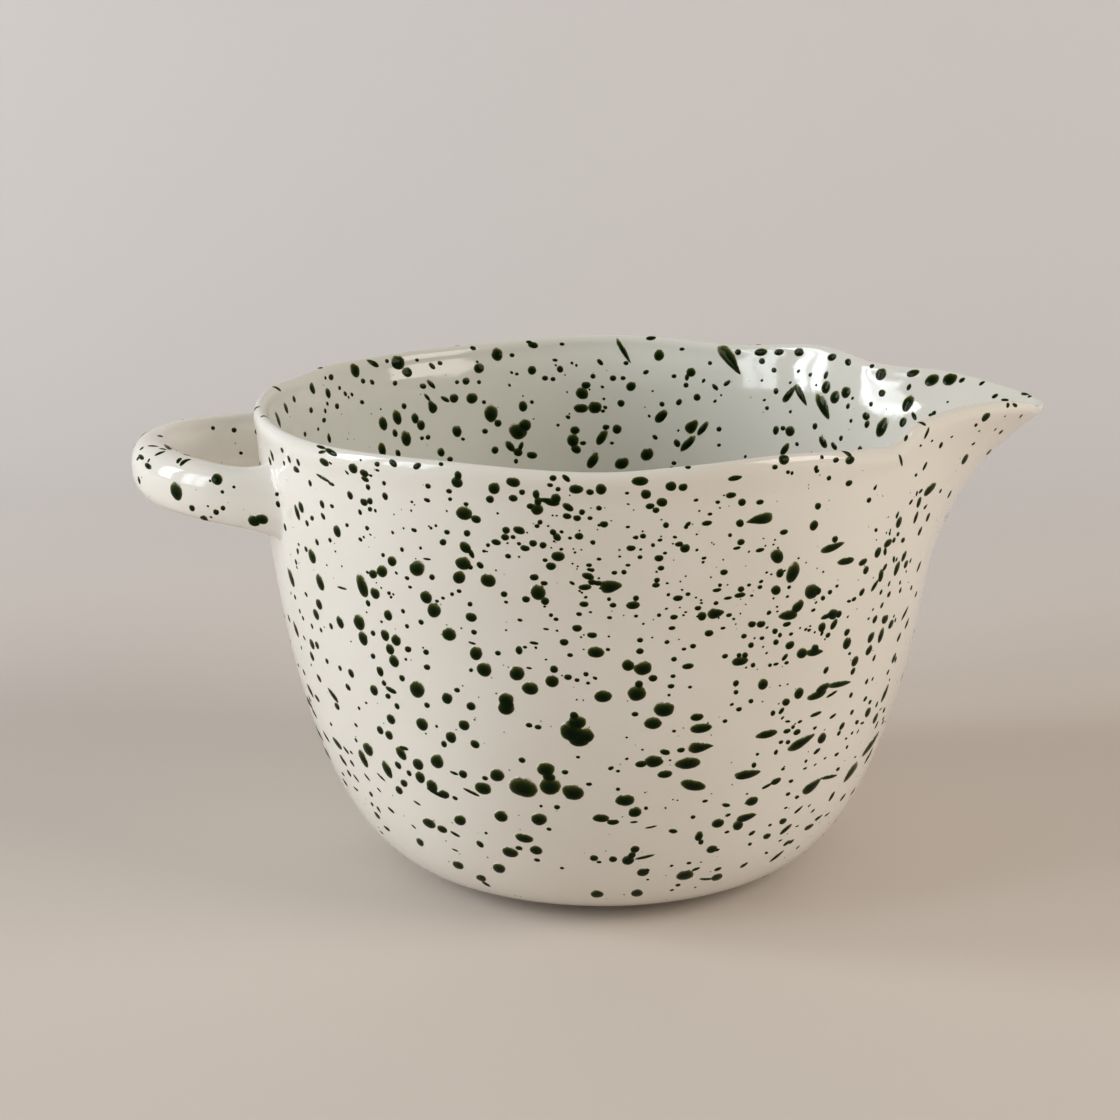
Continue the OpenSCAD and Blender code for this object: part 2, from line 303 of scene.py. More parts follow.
radius, height = [np.stack([row[k] for row in rows], 1) for k in (0, 1)]
turn = np.radians(azimuths)[:, None]
vessel = np.stack([radius * np.cos(turn), radius * np.sin(turn), height], 2)
vessel_normals = grid_normals(vessel)
row_number = np.arange(len(rows))
outer_share = np.clip((row_number - flat_rows) / low_rows, 0, 1) \
    * np.clip((marks["seat_in"] - row_number) / band_rows, 0, 1)
calm = soft(np.clip((radius - foot_r) / (rim_r - foot_r) * 2, 0, 1))
swells = np.where(row_number < (marks["seat_out"] + marks["seat_in"]) / 2,
                  uneven(turn, height / bowl_h, outer_seed),
                  uneven(turn, height / bowl_h, inner_seed))
cap_calm = np.clip(np.abs(row_number - (marks["seat_out"] + marks["seat_in"]) / 2)
                   / (cap_rows / 2 + band_rows), 0, 1)
inset = crest_inset + (skin_inset - crest_inset) * soft(cap_calm)
inset = inset + (lip_inset - inset) * narrow(azimuths, 1)[:, None]
push = swells * uneven_size * calm * soft(cap_calm) - inset * soft(outer_share)
vessel = vessel + vessel_normals * push[:, :, None]
vessel_normals = grid_normals(vessel)
print("Vessel grid of", vessel.shape[0] * vessel.shape[1], "points")

# %% [markdown]
# ## Cutting the pieces
#
# Every face of the grid belongs to the rim, to the spout or to the body. Where two
# pieces part, a hidden strip through the thickness of the wall closes each of them, so
# each is a solid of its own. The corners of the faces keep the normals of the whole
# grid. That is what makes the seams vanish under the glaze.

# %% Piece maker
def link_piece(name, mesh):
    """Puts a mesh into the scene as a piece that rides on the bowl's only body."""
    piece = bpy.data.objects.new(name, mesh)
    bpy.context.scene.collection.objects.link(piece)
    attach(piece, "root")
    return piece


def make_piece(name, points, normals, inside, soft_faces, flat_faces=()):
    """A piece whose soft faces take the given normals and whose flat faces their own."""
    faces = list(soft_faces) + list(flat_faces)
    used = sorted({corner for face in faces for corner in face})
    number = {old: new for new, old in enumerate(used)}
    mesh = bpy.data.meshes.new(name)
    mesh.from_pydata(points[used].tolist(), [], [[number[c] for c in f] for f in faces])
    mesh.polygons.foreach_set("use_smooth", [True] * len(faces))
    corner_normals = [normals[c] for f in soft_faces for c in f]
    for polygon in list(mesh.polygons)[len(soft_faces):]:
        corner_normals += [polygon.normal] * polygon.loop_total
    mesh.normals_split_custom_set([tuple(n) for n in corner_normals])
    # The inside attribute carries each point's share of painted inner shade.
    mesh.attributes.new("inside", "FLOAT", "POINT").data.foreach_set("value", inside[used])
    print(name, "has", len(faces), "faces")
    return link_piece(name, mesh)


# %% Body, rim and spout
row_count = len(rows)
# Painted light: the share of the inner painted shade that is taken back on the spout's side, for the
# light of the windows.
spout_painted_light = 0.75
vessel_points = np.vstack([vessel.reshape(-1, 3), [[0, 0, foot_h], [0, 0, inner_wall[0, 1]]]])
vessel_corner_normals = np.vstack([vessel_normals.reshape(-1, 3), [[0, 0, -1], [0, 0, 1]]])
underside_centre, floor_centre = len(vessel_points) - 2, len(vessel_points) - 1


def at(i, j):
    """Number of the grid's point in column i and row j."""
    return (i % columns) * row_count + j


def strip(i, out_row, in_row):
    """A hidden face through the wall that looks down."""
    return [at(i, out_row), at(i, in_row), at(i + 1, in_row), at(i + 1, out_row)]


def side_strips(i):
    """Hidden upright faces through the wall at column i that look clockwise."""
    low_out, low_in = marks["low_out"], marks["low_in"]
    return [[at(i, low_out + k), at(i, low_out + k + 1), at(i, low_in - k - 1), at(i, low_in - k)]
            for k in range(high_rows - 1)]


def flipped(faces):
    """The same faces, looking the other way."""
    return [face[::-1] for face in faces]


half_way = (marks["seat_out"] + marks["seat_in"]) / 2
# Painted shade: the inside share turns the white cooler and greyer over the inner face, as shade
# inside the bowl; on the spout's side painted light takes much of it back.
inside_rows = soft(np.clip((row_number - half_way) / cap_rows + 0.5, 0, 1))
shade = 1 - spout_painted_light * soft(np.clip(np.cos(turn), 0, 1))
vessel_inside_shade = np.append((shade * inside_rows).ravel(), [0, 1])
skin_of = {"bowl_body": [], "rolled_rim": [], "pouring_spout": []}
for i in range(columns):
    skin_of["bowl_body"].append([at(i + 1, 0), at(i, 0), underside_centre])
    skin_of["bowl_body"].append([at(i, row_count - 1), at(i + 1, row_count - 1), floor_centre])
    for j in range(row_count - 1):
        on_rim = marks["seat_out"] <= j < marks["seat_in"]
        on_spout = i < spout_columns and marks["low_out"] <= j < marks["low_in"]
        owner = "rolled_rim" if on_rim else "pouring_spout" if on_spout else "bowl_body"
        skin_of[owner].append([at(i, j), at(i + 1, j), at(i + 1, j + 1), at(i, j + 1)])

seat_strips = [strip(i, marks["seat_out"], marks["seat_in"]) for i in range(columns)]
window_strips = ([strip(i, marks["low_out"], marks["low_in"]) for i in range(spout_columns)]
                 + side_strips(0) + flipped(side_strips(spout_columns)))
hidden_of = {"rolled_rim": seat_strips,
             "pouring_spout": window_strips + flipped(seat_strips[:spout_columns]),
             "bowl_body": flipped(window_strips + seat_strips[spout_columns:])}
glazed = {}
for name in skin_of:
    piece = make_piece(name + "_glazed", vessel_points, vessel_corner_normals, vessel_inside_shade,
                       skin_of[name], hidden_of[name])
    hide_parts(name)
    glazed[name] = piece

# %% [markdown]
# ## The handle
#
# The handle is a thick strap of clay bent into a flat loop. Potters pull it from a lump,
# so its section is a soft oval that swells at the far end of the loop. A curve with a
# bevel could draw the strap, but its roots have to spread out and flow into the wall.
# Each line along the strap is therefore followed until it meets the wall. On its last
# stretch it bends away like a quarter of an oval, so that it lands on the wall
# tangentially and takes the wall's own normal there. One more ring lies inside the wall,
# which hides the cut end of the root.

# %% Handle sizes
handle_reach = -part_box("handle_strap")[0].x - rim_r
handle_w, handle_t, handle_swell, handle_h = 76 * mm, 10 * mm, 3 * mm, 16 * mm
handle_drop, handle_lift, handle_tilt = 20.5 * mm, 2.8 * mm, 1.5 * mm
root_flare = 2.8 * mm
loop_sink_share, root_angle, oval_power = 1.2, 64, 0.85
strap_sides, strap_stations, root_stations = 44, 72, 12
last_angle, angle_steps, wall_every = 92, 60, 4
hidden_depth, ray_start = 1.2 * mm, 20
strap_uneven, strap_seed = 0.02, 11

loop_x = rim_r - handle_t * loop_sink_share
loop_a = rim_r + handle_reach - (handle_t + handle_swell) / 2 - loop_x
loop_b = (handle_w - handle_t) / 2
strap_turns = np.arange(strap_sides) * 2 * math.pi / strap_sides


def strap_ring(angle):
    """Points round the strap at an angle in degrees from the far end of the loop."""
    a = math.radians(angle)
    middle = np.array([-loop_x - loop_a * math.cos(a), loop_b * math.sin(a),
                       bowl_h - handle_drop + handle_lift * math.cos(a)
                       + handle_tilt * (1 + math.sin(a)) / 2])
    side = np.array([-math.cos(a) * loop_b, math.sin(a) * loop_a, 0])
    side /= np.linalg.norm(side)
    thick = (handle_t + handle_swell * math.cos(a)**2) / 2 - skin_inset
    tall = handle_h / 2 - skin_inset
    c, s = np.cos(strap_turns), np.sin(strap_turns)
    swell = 1 + strap_uneven * uneven(strap_turns, (angle + 90) / 60, strap_seed)
    oval = (np.sign(c) * np.abs(c)**oval_power * thick * swell)[:, None] * side
    oval[:, 2] = np.sign(s) * np.abs(s)**oval_power * tall * swell
    return middle + oval


vessel_tree = BVHTree.FromPolygons(vessel_points.tolist(), sum(skin_of.values(), []))
vessel_faces = sum(skin_of.values(), [])


def landing(point):
    """Where the wall lies under a point beside it, and the wall's soft normal there."""
    inward = Vector((-point[0], -point[1], 0)).normalized()
    start = Vector(point) - inward * ray_start * mm
    spot, _, number, _ = vessel_tree.ray_cast(start, inward)
    corners = vessel_faces[number]
    weights = poly_3d_calc([Vector(vessel_points[c]) for c in corners], spot)
    normal = sum(w * vessel_corner_normals[c] for w, c in zip(weights, corners))
    return np.array(spot), normal / np.linalg.norm(normal)


# %% Handle grid
def root_rings(side):
    """Rings of a root from the strap's end into the wall, and the wall's normals there."""
    angles = np.linspace(root_angle, last_angle, angle_steps)
    lines = np.stack([strap_ring(side * a) for a in angles])
    rings = np.zeros((root_stations + 2, strap_sides, 3))
    last_normals = np.zeros((strap_sides, 3))
    middle = lines[-1].mean(0)
    for k in range(strap_sides):
        line = lines[:, k]
        away = [np.dot(p - landing(p)[0], landing(p)[1]) for p in line[::wall_every]]
        away = np.interp(np.arange(len(line)), np.arange(len(line))[::wall_every], away)
        meets = int(np.argmax(away < 0))
        reach = np.concatenate([[0], np.cumsum(np.linalg.norm(np.diff(line, axis=0), axis=1))])
        whole = np.interp(0, [away[meets], away[meets - 1]], [reach[meets], reach[meets - 1]])
        landed = np.array([np.interp(whole, reach, line[:, x]) for x in range(3)])
        _, normal = landing(landed)
        outward = landed - middle
        outward -= normal * outward.dot(normal)
        outward /= np.linalg.norm(outward)
        for w in range(root_stations + 1):
            q = w / root_stations * math.pi / 2
            along = [np.interp(whole * math.sin(q), reach, line[:, x]) for x in range(3)]
            rings[w, k] = along + outward * root_flare * (1 - math.cos(q))
        rings[-2, k], last_normals[k] = landing(rings[-2, k])
        rings[-1, k] = rings[-2, k] - last_normals[k] * hidden_depth
    return rings, last_normals


front_rings, front_normals = root_rings(-1)
back_rings, back_normals = root_rings(1)
strap_rings = [strap_ring(a) for a in np.linspace(-root_angle, root_angle, strap_stations + 1)]
handle = np.concatenate([front_rings[::-1], strap_rings[1:-1], back_rings])
handle = handle.transpose(1, 0, 2)
handle_normals = grid_normals(handle)
handle_normals[:, :2] = front_normals[:, None]
handle_normals[:, -2:] = back_normals[:, None]
stations = handle.shape[1]
print("Handle grid of", handle.shape[0], "by", stations, "points")

# %% Strap and roots
handle_points = handle.reshape(-1, 3)
handle_corner_normals = handle_normals.reshape(-1, 3)
# The handle carries no painted inner shade.
handle_inside_shade = np.zeros(len(handle_points))


def handle_faces(first, last):
    """Faces round the handle between two stations."""
    return [[k * stations + j, (k + 1) % strap_sides * stations + j,
             (k + 1) % strap_sides * stations + j + 1, k * stations + j + 1]
            for k in range(strap_sides) for j in range(first, last)]


def handle_cut(station):
    """The whole section of the handle at a station, looking towards the first station."""
    return [k * stations + station for k in range(strap_sides)][::-1]


root_end, strap_end = root_stations + 1, stations - 2 - root_stations
ranges = {"handle_root_front": (0, root_end), "handle_strap": (root_end, strap_end),
          "handle_root_back": (strap_end, stations - 1)}
for name, (first, last) in ranges.items():
    piece = make_piece(name + "_glazed", handle_points, handle_corner_normals, handle_inside_shade,
                       handle_faces(first, last), [handle_cut(first), handle_cut(last)[::-1]])
    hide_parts(name)
    glazed[name] = piece

# %% [markdown]
# ## The foot ring
#
# The foot is trimmed on the wheel when the clay is as hard as leather, and it's wiped
# bare of glaze so that it can't weld itself to the kiln shelf. A loop tool leaves soft
# edges and faint turning marks. The section is drawn as a closed line of points, small
# arcs at its corners, and swept round the axis with a slow wobble in its height.

# %% Foot ring
foot_columns, corner_steps, foot_sunk = 240, 5, 0.4 * mm
foot_wear, sharp_angle = 0.05 * mm, math.radians(50)
foot_corners = [((foot_r - foot_w, foot_h + foot_sunk), 0 * mm),
                ((foot_r - foot_w + 0.3 * mm, foot_h - 0.9 * mm), 0.7 * mm),
                ((foot_r - foot_w + 0.9 * mm, 0), 1 * mm), ((foot_r - 0.9 * mm, 0), 1.1 * mm),
                ((foot_r - 0.2 * mm, foot_h - 0.9 * mm), 0.7 * mm),
                ((foot_r, foot_h + foot_sunk), 0 * mm)]


def rounded(corners, steps):
    """A line through corners, each cut back by its own length and rounded."""
    line = []
    for k, (corner, cut) in enumerate(corners):
        corner = np.array(corner)
        if cut == 0:
            line.append(corner)
            continue
        before, after = [np.array(corners[n][0]) - corner for n in (k - 1, k + 1)]
        start, end = [corner + way / np.linalg.norm(way) * cut for way in (before, after)]
        for s in np.linspace(0, 1, steps):
            line.append(start * (1 - s)**2 + corner * 2 * s * (1 - s) + end * s**2)
    return np.array(line)


foot_line = rounded(foot_corners, corner_steps)
foot_turn = np.arange(foot_columns) * 2 * math.pi / foot_columns
wear = foot_wear * (1 + np.cos(3 * foot_turn + 1) * np.cos(7 * foot_turn))
foot_points = np.array([(r * math.cos(a), r * math.sin(a), max(z, lift))
                        for a, lift in zip(foot_turn, wear) for r, z in foot_line])
foot_count = len(foot_line)
foot_faces = [[i * foot_count + j, (i + 1) % foot_columns * foot_count + j,
               (i + 1) % foot_columns * foot_count + (j + 1) % foot_count,
               i * foot_count + (j + 1) % foot_count]
              for i in range(foot_columns) for j in range(foot_count)]
foot_mesh = bpy.data.meshes.new("foot_ring_bare")
foot_mesh.from_pydata(foot_points.tolist(), [], foot_faces)
foot_mesh.polygons.foreach_set("use_smooth", [True] * len(foot_faces))
foot_mesh.set_sharp_from_angle(angle=sharp_angle)
foot = link_piece("foot_ring_bare", foot_mesh)
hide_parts("foot_ring")
print("Foot ring has", len(foot_faces), "faces")

# %% [markdown]
# ## Where a drop can lie
#
# A drop melts onto whatever it hits, so every drop asks the glazed skin two things: where
# is the nearest point of it, and which way does it face there? One search tree over the
# skins of all the pieces answers both, also where the handle flows into the wall.

# %% The glazed skin
skin_points = [Vector(p) for p in np.vstack([vessel_points, handle_points])]
skin_normals = [Vector(n) for n in np.vstack([vessel_corner_normals, handle_corner_normals])]
skin_inside_shade = np.append(vessel_inside_shade, handle_inside_shade).tolist()
skin_faces, skin_group = [], []
for owner, faces in skin_of.items():
    for face in faces:
        skin_faces.append(face)
        side = "outside" if face[0] % row_count < half_way else "inside"
        skin_group.append(side if owner == "bowl_body" else "rim")
for face in handle_faces(1, stations - 2):
    skin_faces.append([len(vessel_points) + corner for corner in face])
    skin_group.append("handle")
skin_tree = BVHTree.FromPolygons(skin_points, skin_faces)


def touch(point):
    """The nearest point of the skin, its soft normal, its share of painted inner shade, and its group.
    """
    place, _, number, _ = skin_tree.find_nearest(point)
    corners = skin_faces[number]
    weights = poly_3d_calc([skin_points[c] for c in corners], place)
    normal = Vector((0, 0, 0))
    inside = 0
    for weight, corner in zip(weights, corners):
        normal += skin_normals[corner] * weight
        inside += skin_inside_shade[corner] * weight
    return place, normal.normalized(), inside, skin_group[number]


print("Skin of", len(skin_faces), "faces for the drops to land on")

# %% [markdown]
# ## One drop
#
# A painted pattern would lie flat, but the real drops stand a little proud, shine, and
# have soft edges where the green melts into the white. Each drop is therefore a low dome
# of its own. It grows outwards from its middle in rings: every point walks a little way
# over the skin, and is then set back on it, so that a drop can bend round the rim. The
# dome remembers how thick it is and which part is lowest, and its colour follows that.

# %% One drop
drops = {group: {"points": [], "faces": [], "thick": [], "low": [], "inside": []}
         for group in ("outside", "inside", "rim", "handle")}
edge_sunk, floor_sunk = 0.03 * mm, 0.12 * mm
least_height, height_share, dome_power, sag_share = 0.06 * mm, 0.09, 1.4, 0.3
least_strength, strong_size = 0.55, 1.3 * mm
drop_count = {group: 0 for group in drops}
all_drops = []


def dome_rings(size):
    """The rings of a drop as shares of its size, more of them for a larger drop."""
    if size < 0.5 * mm:
        return (0.5, 1)
    if size < 1.2 * mm:
        return (0.4, 0.72, 1)
    return (0.32, 0.58, 0.8, 1)


def lay_drop(point, ways):
    """Melts a drop at a point of the skin; the ways lead from its middle to its edge."""
    centre, normal, inside, group = touch(point)
    size = sum(way.length for way in ways) / len(ways)
    height = least_height + height_share * size
    strength = min(1, least_strength + size / strong_size)
    down = Vector((0, 0, -1)) + normal * normal.z
    drop, count = drops[group], len(ways)
    start = len(drop["points"])

    # Each point keeps the skin's share of painted inner shade, so the melted edge matches the white
    # around it.
    def put(place, up, lift, low, shade_share):
        drop["points"].append(place + up * lift)
        drop["thick"].append(lift / height * strength)
        drop["low"].append(low)
        drop["inside"].append(shade_share)

    put(centre, normal, height, 0, inside)
    walkers = [(centre, (way - normal * way.dot(normal)).normalized()) for way in ways]
    walked = 0
    for ring in dome_rings(size):
        for n in range(count):
            place, heading = walkers[n]
            place, up, shade_share, _ = touch(place + heading * ways[n].length * (ring - walked))
            heading = (heading - up * heading.dot(up)).normalized()
            walkers[n] = (place, heading)
            low = heading.dot(down) * ring
            lift = -edge_sunk
            if ring < 1:
                lift = height * (1 - ring**2)**dome_power * (1 + sag_share * low)
            put(place, up, lift, low, shade_share)
        walked = ring
    put(centre, normal, -floor_sunk, 0, inside)

    rings = len(dome_rings(size))
    first = [start + 1 + r * count for r in range(rings)]
    floor_point = len(drop["points"]) - 1
    for n in range(count):
        m = (n + 1) % count
        drop["faces"].append([start, first[0] + n, first[0] + m])
        for inner, outer in zip(first, first[1:]):
            drop["faces"].append([inner + n, outer + n, outer + m, inner + m])
        drop["faces"].append([floor_point, first[-1] + m, first[-1] + n])
    drop_count[group] += 1
    all_drops.append((group, start, len(drop["points"]), centre, ways[0], ways[count // 4], strength))


print("A drop 4 mm wide gets", len(dome_rings(2 * mm)), "rings")

# %% [markdown]
# A splash is never a true circle. The outline starts as an oval, is drawn to a point at
# one end when the drop flew flat, and gets a slow wobble, which turns it into a blob.

# %% Outline of a drop
def outline(long, short, tilt, point_share, wobble, draw):
    """Points round a drop, tilted in degrees, with its pointed end in the tilt's way."""
    count = 8 if long < 1 else 13 if long < 2.2 else 20 if long < 4.5 else 30
    phases = [draw.uniform(0, whole_turn) for _ in range(2 if long < 4.5 else 4)]
    line = []
    for k in range(count):
        a = 2 * math.pi * k / count
        r = 1 + wobble * sum(math.cos((m + 2) * a + phase) / (m + 1)
                             for m, phase in enumerate(phases))
        x = long / 2 * math.cos(a) * r
        y = short / 2 * math.sin(a) * r * (1 - point_share * math.cos(a))
        t = math.radians(tilt)
        line.append((x * math.cos(t) - y * math.sin(t), x * math.sin(t) + y * math.cos(t)))
    return line


print("An outline:", [(round(x, 1), round(y, 1)) for x, y in outline(2, 1, 30, 0.3, 0.1,
                                                                      random.Random(1))])

# %% [markdown]
# ## The drops that the photograph shows
#
# A splatter is chance, but this bowl is known by its own drops. They are read off the
# photograph: the place of each in the picture, its width and height there in
# picture points, and for the slanted ones the tilt and how pointed one end is. A line
# from the camera through the place finds the spot on the bowl, so the drop lies on the
# skin and looks right from every side.

# %% Drops on the outside, left and middle
drops_left = [
    (457, 482, 12, 11), (458, 475, 7, 9), (494, 488, 12, 12), (513, 482, 14, 10), (490, 499, 8, 8),
    (536, 494, 7, 9), (538, 501, 7, 9), (552, 502, 15, 8), (556, 498, 9, 10), (545, 500, 10, 5),
    (537, 509, 12, 12), (464, 513, 16, 14), (476, 519, 10, 8), (467, 533, 7, 7),
    (465, 547, 13, 10, -45), (463, 563, 16, 13), (459, 577, 13, 13), (488, 580, 15, 14),
    (417, 568, 16, 16), (392, 561, 10, 10), (382, 571, 12, 12), (373, 574, 9, 9),
    (362, 585, 11, 25), (375, 593, 10, 12), (368, 603, 5, 7), (337, 531, 8, 13), (312, 556, 9, 15),
    (320, 582, 9, 17), (291, 577, 7, 20), (297, 512, 5, 17, -72), (301, 507, 6, 12),
    (319, 604, 8, 11), (316, 614, 7, 12), (340, 622, 8, 13), (359, 622, 12, 17), (363, 638, 10, 15),
    (388, 615, 9, 11), (385, 635, 9, 12), (396, 640, 10, 12), (390, 649, 9, 11), (394, 661, 10, 13),
    (426, 597, 12, 13), (434, 610, 14, 15), (471, 617, 12, 9), (449, 634, 14, 14),
    (476, 653, 13, 14), (484, 669, 15, 15), (517, 673, 15, 15), (530, 688, 16, 14),
    (538, 592, 16, 15, -30), (545, 601, 8, 8), (552, 681, 14, 12), (506, 699, 15, 13),
    (507, 704, 13, 9), (506, 708, 16, 14), (417, 689, 15, 18), (374, 690, 9, 11), (380, 671, 7, 11),
    (447, 698, 11, 12), (471, 706, 9, 9), (464, 725, 11, 11), (451, 737, 11, 12),
    (422, 724, 12, 14), (571, 731, 21, 21), (577, 722, 17, 15), (574, 715, 8, 8),
    (585, 735, 18, 15), (579, 740, 19, 14), (368, 749, 11, 15), (401, 753, 9, 16, -60),
    (404, 748, 10, 4, -10), (437, 761, 14, 15), (418, 764, 11, 13, -75), (420, 777, 10, 13),
    (387, 769, 9, 19), (363, 758, 8, 20), (432, 786, 11, 15), (444, 794, 11, 9), (404, 783, 8, 8),
    (399, 790, 8, 9), (497, 775, 14, 14), (483, 788, 16, 14), (523, 787, 28, 21),
    (546, 769, 17, 15), (549, 777, 12, 9), (550, 786, 20, 19), (573, 792, 21, 17),
    (429, 823, 14, 11), (442, 829, 11, 8), (460, 820, 12, 12), (501, 816, 13, 13),
    (539, 819, 15, 14), (524, 838, 18, 10), (536, 850, 13, 10), (510, 852, 16, 12),
    (458, 865, 12, 10), (499, 868, 13, 12), (481, 878, 10, 9), (420, 842, 8, 10)]
print(len(drops_left), "drops on the left and in the middle")

# %% Drops on the outside, right
drops_right = [
    (640, 481, 17, 9), (671, 486, 11, 10), (646, 494, 10, 10), (662, 502, 11, 9), (576, 489, 15, 9),
    (601, 489, 11, 11), (579, 536, 9, 7), (735, 478, 15, 5), (731, 495, 11, 6), (742, 502, 8, 8),
    (760, 519, 27, 10, 12, -0.5), (740, 523, 8, 8), (707, 523, 11, 5), (814, 525, 9, 11),
    (849, 483, 8, 6), (685, 548, 10, 9), (833, 547, 28, 7, 15, 0.3), (846, 561, 20, 7, 5),
    (863, 562, 11, 6), (866, 570, 6, 9), (878, 552, 7, 12), (930, 489, 18, 8, 35),
    (899, 522, 7, 12), (888, 543, 11, 7), (777, 556, 13, 15, -50), (793, 572, 13, 21),
    (776, 590, 10, 10), (812, 591, 16, 15), (798, 606, 10, 15, 45), (788, 615, 20, 10, 8, -0.3),
    (833, 614, 11, 11), (827, 616, 14, 5), (839, 614, 6, 8), (834, 624, 6, 12, 62),
    (822, 627, 8, 10), (847, 643, 9, 13), (802, 653, 11, 11), (815, 652, 19, 7, 0, 0.4),
    (815, 648, 8, 8), (871, 637, 7, 12), (855, 661, 8, 11), (740, 661, 17, 9), (745, 655, 6, 6),
    (739, 655, 5, 5), (763, 684, 10, 12), (709, 633, 9, 7), (716, 613, 17, 10, 5, 0.4),
    (702, 616, 9, 9), (752, 624, 8, 7), (761, 624, 9, 7), (688, 666, 12, 6),
    (611, 586, 23, 12, 5, 0.3), (633, 605, 14, 8), (588, 576, 12, 7, -15), (592, 582, 6, 8),
    (585, 587, 13, 6, 5), (584, 604, 9, 6), (596, 652, 17, 11), (628, 665, 12, 12),
    (643, 668, 18, 14), (603, 696, 17, 13), (637, 693, 19, 15), (639, 684, 8, 8),
    (664, 709, 21, 15), (653, 723, 18, 12), (697, 717, 13, 8), (701, 728, 22, 10),
    (701, 747, 25, 10, 3, 0.6), (688, 763, 26, 12), (693, 785, 26, 11, -12), (654, 761, 18, 13),
    (641, 764, 11, 7), (665, 774, 15, 8), (767, 734, 23, 8), (840, 684, 27, 6, 3, 0.3),
    (823, 688, 17, 8, 30), (817, 695, 22, 8, 14), (832, 694, 14, 3, 25), (799, 693, 10, 12),
    (748, 774, 27, 9, 4, 0.3), (752, 801, 13, 10), (802, 742, 32, 9, 25, 0.3), (822, 738, 9, 12),
    (776, 781, 11, 7, 20), (767, 786, 12, 3, 25), (812, 786, 23, 10, 32, 0.3), (829, 777, 21, 4, 0),
    (851, 772, 25, 9, 50, -0.3), (871, 744, 32, 7, 44), (625, 800, 20, 12), (635, 812, 13, 11),
    (601, 818, 16, 9), (613, 822, 12, 6), (718, 823, 13, 10), (738, 825, 11, 11),
    (747, 817, 21, 8, 10, 0.4), (699, 836, 8, 11), (712, 849, 11, 9), (628, 860, 12, 11),
    (632, 855, 7, 8, 60), (635, 849, 9, 8), (643, 872, 12, 10), (685, 875, 18, 12),
    (717, 877, 11, 10), (597, 894, 12, 11), (637, 893, 11, 11), (809, 827, 11, 6),
    (786, 829, 16, 5, 42), (777, 856, 18, 4, 42)]
print(len(drops_right), "drops on the right")

# %% Drops on the inside, spout and handle
drops_inner_left = [
    (355, 370, 10, 14), (312, 388, 6, 12), (328, 393, 6, 10), (398, 362, 13, 15, -50),
    (407, 372, 11, 9), (373, 363, 14, 5, -25), (383, 423, 9, 14), (397, 417, 9, 15),
    (406, 438, 10, 16), (415, 418, 7, 11), (421, 425, 8, 10), (382, 449, 8, 14),
    (432, 406, 8, 14, -60, -0.4), (454, 398, 9, 9), (472, 398, 11, 11), (457, 431, 9, 12),
    (497, 354, 11, 13), (479, 368, 10, 10), (466, 381, 7, 7), (491, 413, 13, 17), (498, 423, 7, 7),
    (518, 431, 18, 15), (525, 425, 12, 12), (523, 406, 8, 11), (510, 446, 12, 7, -50),
    (518, 452, 9, 8), (521, 446, 4, 9, 70), (532, 455, 10, 7), (532, 370, 8, 9), (533, 345, 10, 6),
    (582, 393, 11, 13), (586, 385, 9, 7), (581, 408, 14, 9), (595, 407, 13, 12, 40),
    (575, 430, 9, 8), (573, 440, 12, 12), (576, 449, 8, 10), (602, 437, 8, 17, 60),
    (593, 460, 9, 17, 60), (622, 463, 11, 14), (617, 429, 9, 9), (621, 403, 7, 7),
    (631, 386, 9, 10), (647, 454, 12, 13, 45), (623, 350, 4, 30, -60, 0.3), (441, 452, 7, 9),
    (495, 450, 7, 7)]
drops_inner_right = [
    (659, 355, 10, 11), (691, 372, 9, 9), (697, 397, 7, 7), (730, 359, 35, 11, -54, 0.6),
    (661, 416, 9, 15, 50), (692, 426, 10, 16, 50, 0.3), (688, 443, 21, 7, 48),
    (703, 428, 17, 6, 52), (790, 393, 6, 22, 50, 0.4), (801, 395, 6, 24, -60, 0.4),
    (826, 387, 9, 13), (835, 397, 10, 13), (846, 392, 10, 12), (823, 406, 10, 28, -65, 0.3),
    (881, 374, 10, 13, 55), (882, 393, 7, 7), (882, 427, 11, 20, 60), (866, 416, 8, 8),
    (867, 424, 5, 8), (908, 403, 10, 17), (932, 380, 15, 11), (950, 379, 15, 12),
    (913, 373, 13, 7, 15), (790, 431, 10, 10), (776, 430, 6, 9), (785, 449, 14, 6, 55),
    (784, 459, 11, 11), (799, 352, 10, 8), (779, 352, 10, 6), (761, 352, 13, 7), (832, 357, 10, 7),
    (848, 362, 7, 7), (823, 442, 7, 13, -60), (903, 422, 7, 10), (850, 460, 11, 8),
    (847, 453, 12, 4, -25)]
drops_spout_and_loop = [
    (986, 417, 11, 8), (965, 459, 7, 12), (989, 452, 8, 5), (176, 491, 13, 18), (217, 479, 11, 12),
    (192, 508, 6, 7), (216, 512, 6, 6), (223, 508, 5, 5), (204, 519, 9, 7), (254, 521, 12, 12),
    (262, 519, 12, 11), (168, 447, 6, 12), (141, 457, 10, 4), (148, 466, 10, 5),
    (185, 461, 14, 4, 35), (179, 460, 8, 4, 60), (130, 458, 3, 12), (139, 480, 4, 8),
    (198, 415, 10, 4), (234, 430, 5, 5), (213, 428, 4, 4)]
print(len(drops_inner_left) + len(drops_inner_right) + len(drops_spout_and_loop), "more")

# %% [markdown]
# The first reading misses the smaller drops, yet they give a splatter its grain. A second
# reading takes them too, down to the finest that still has a shape of its own.

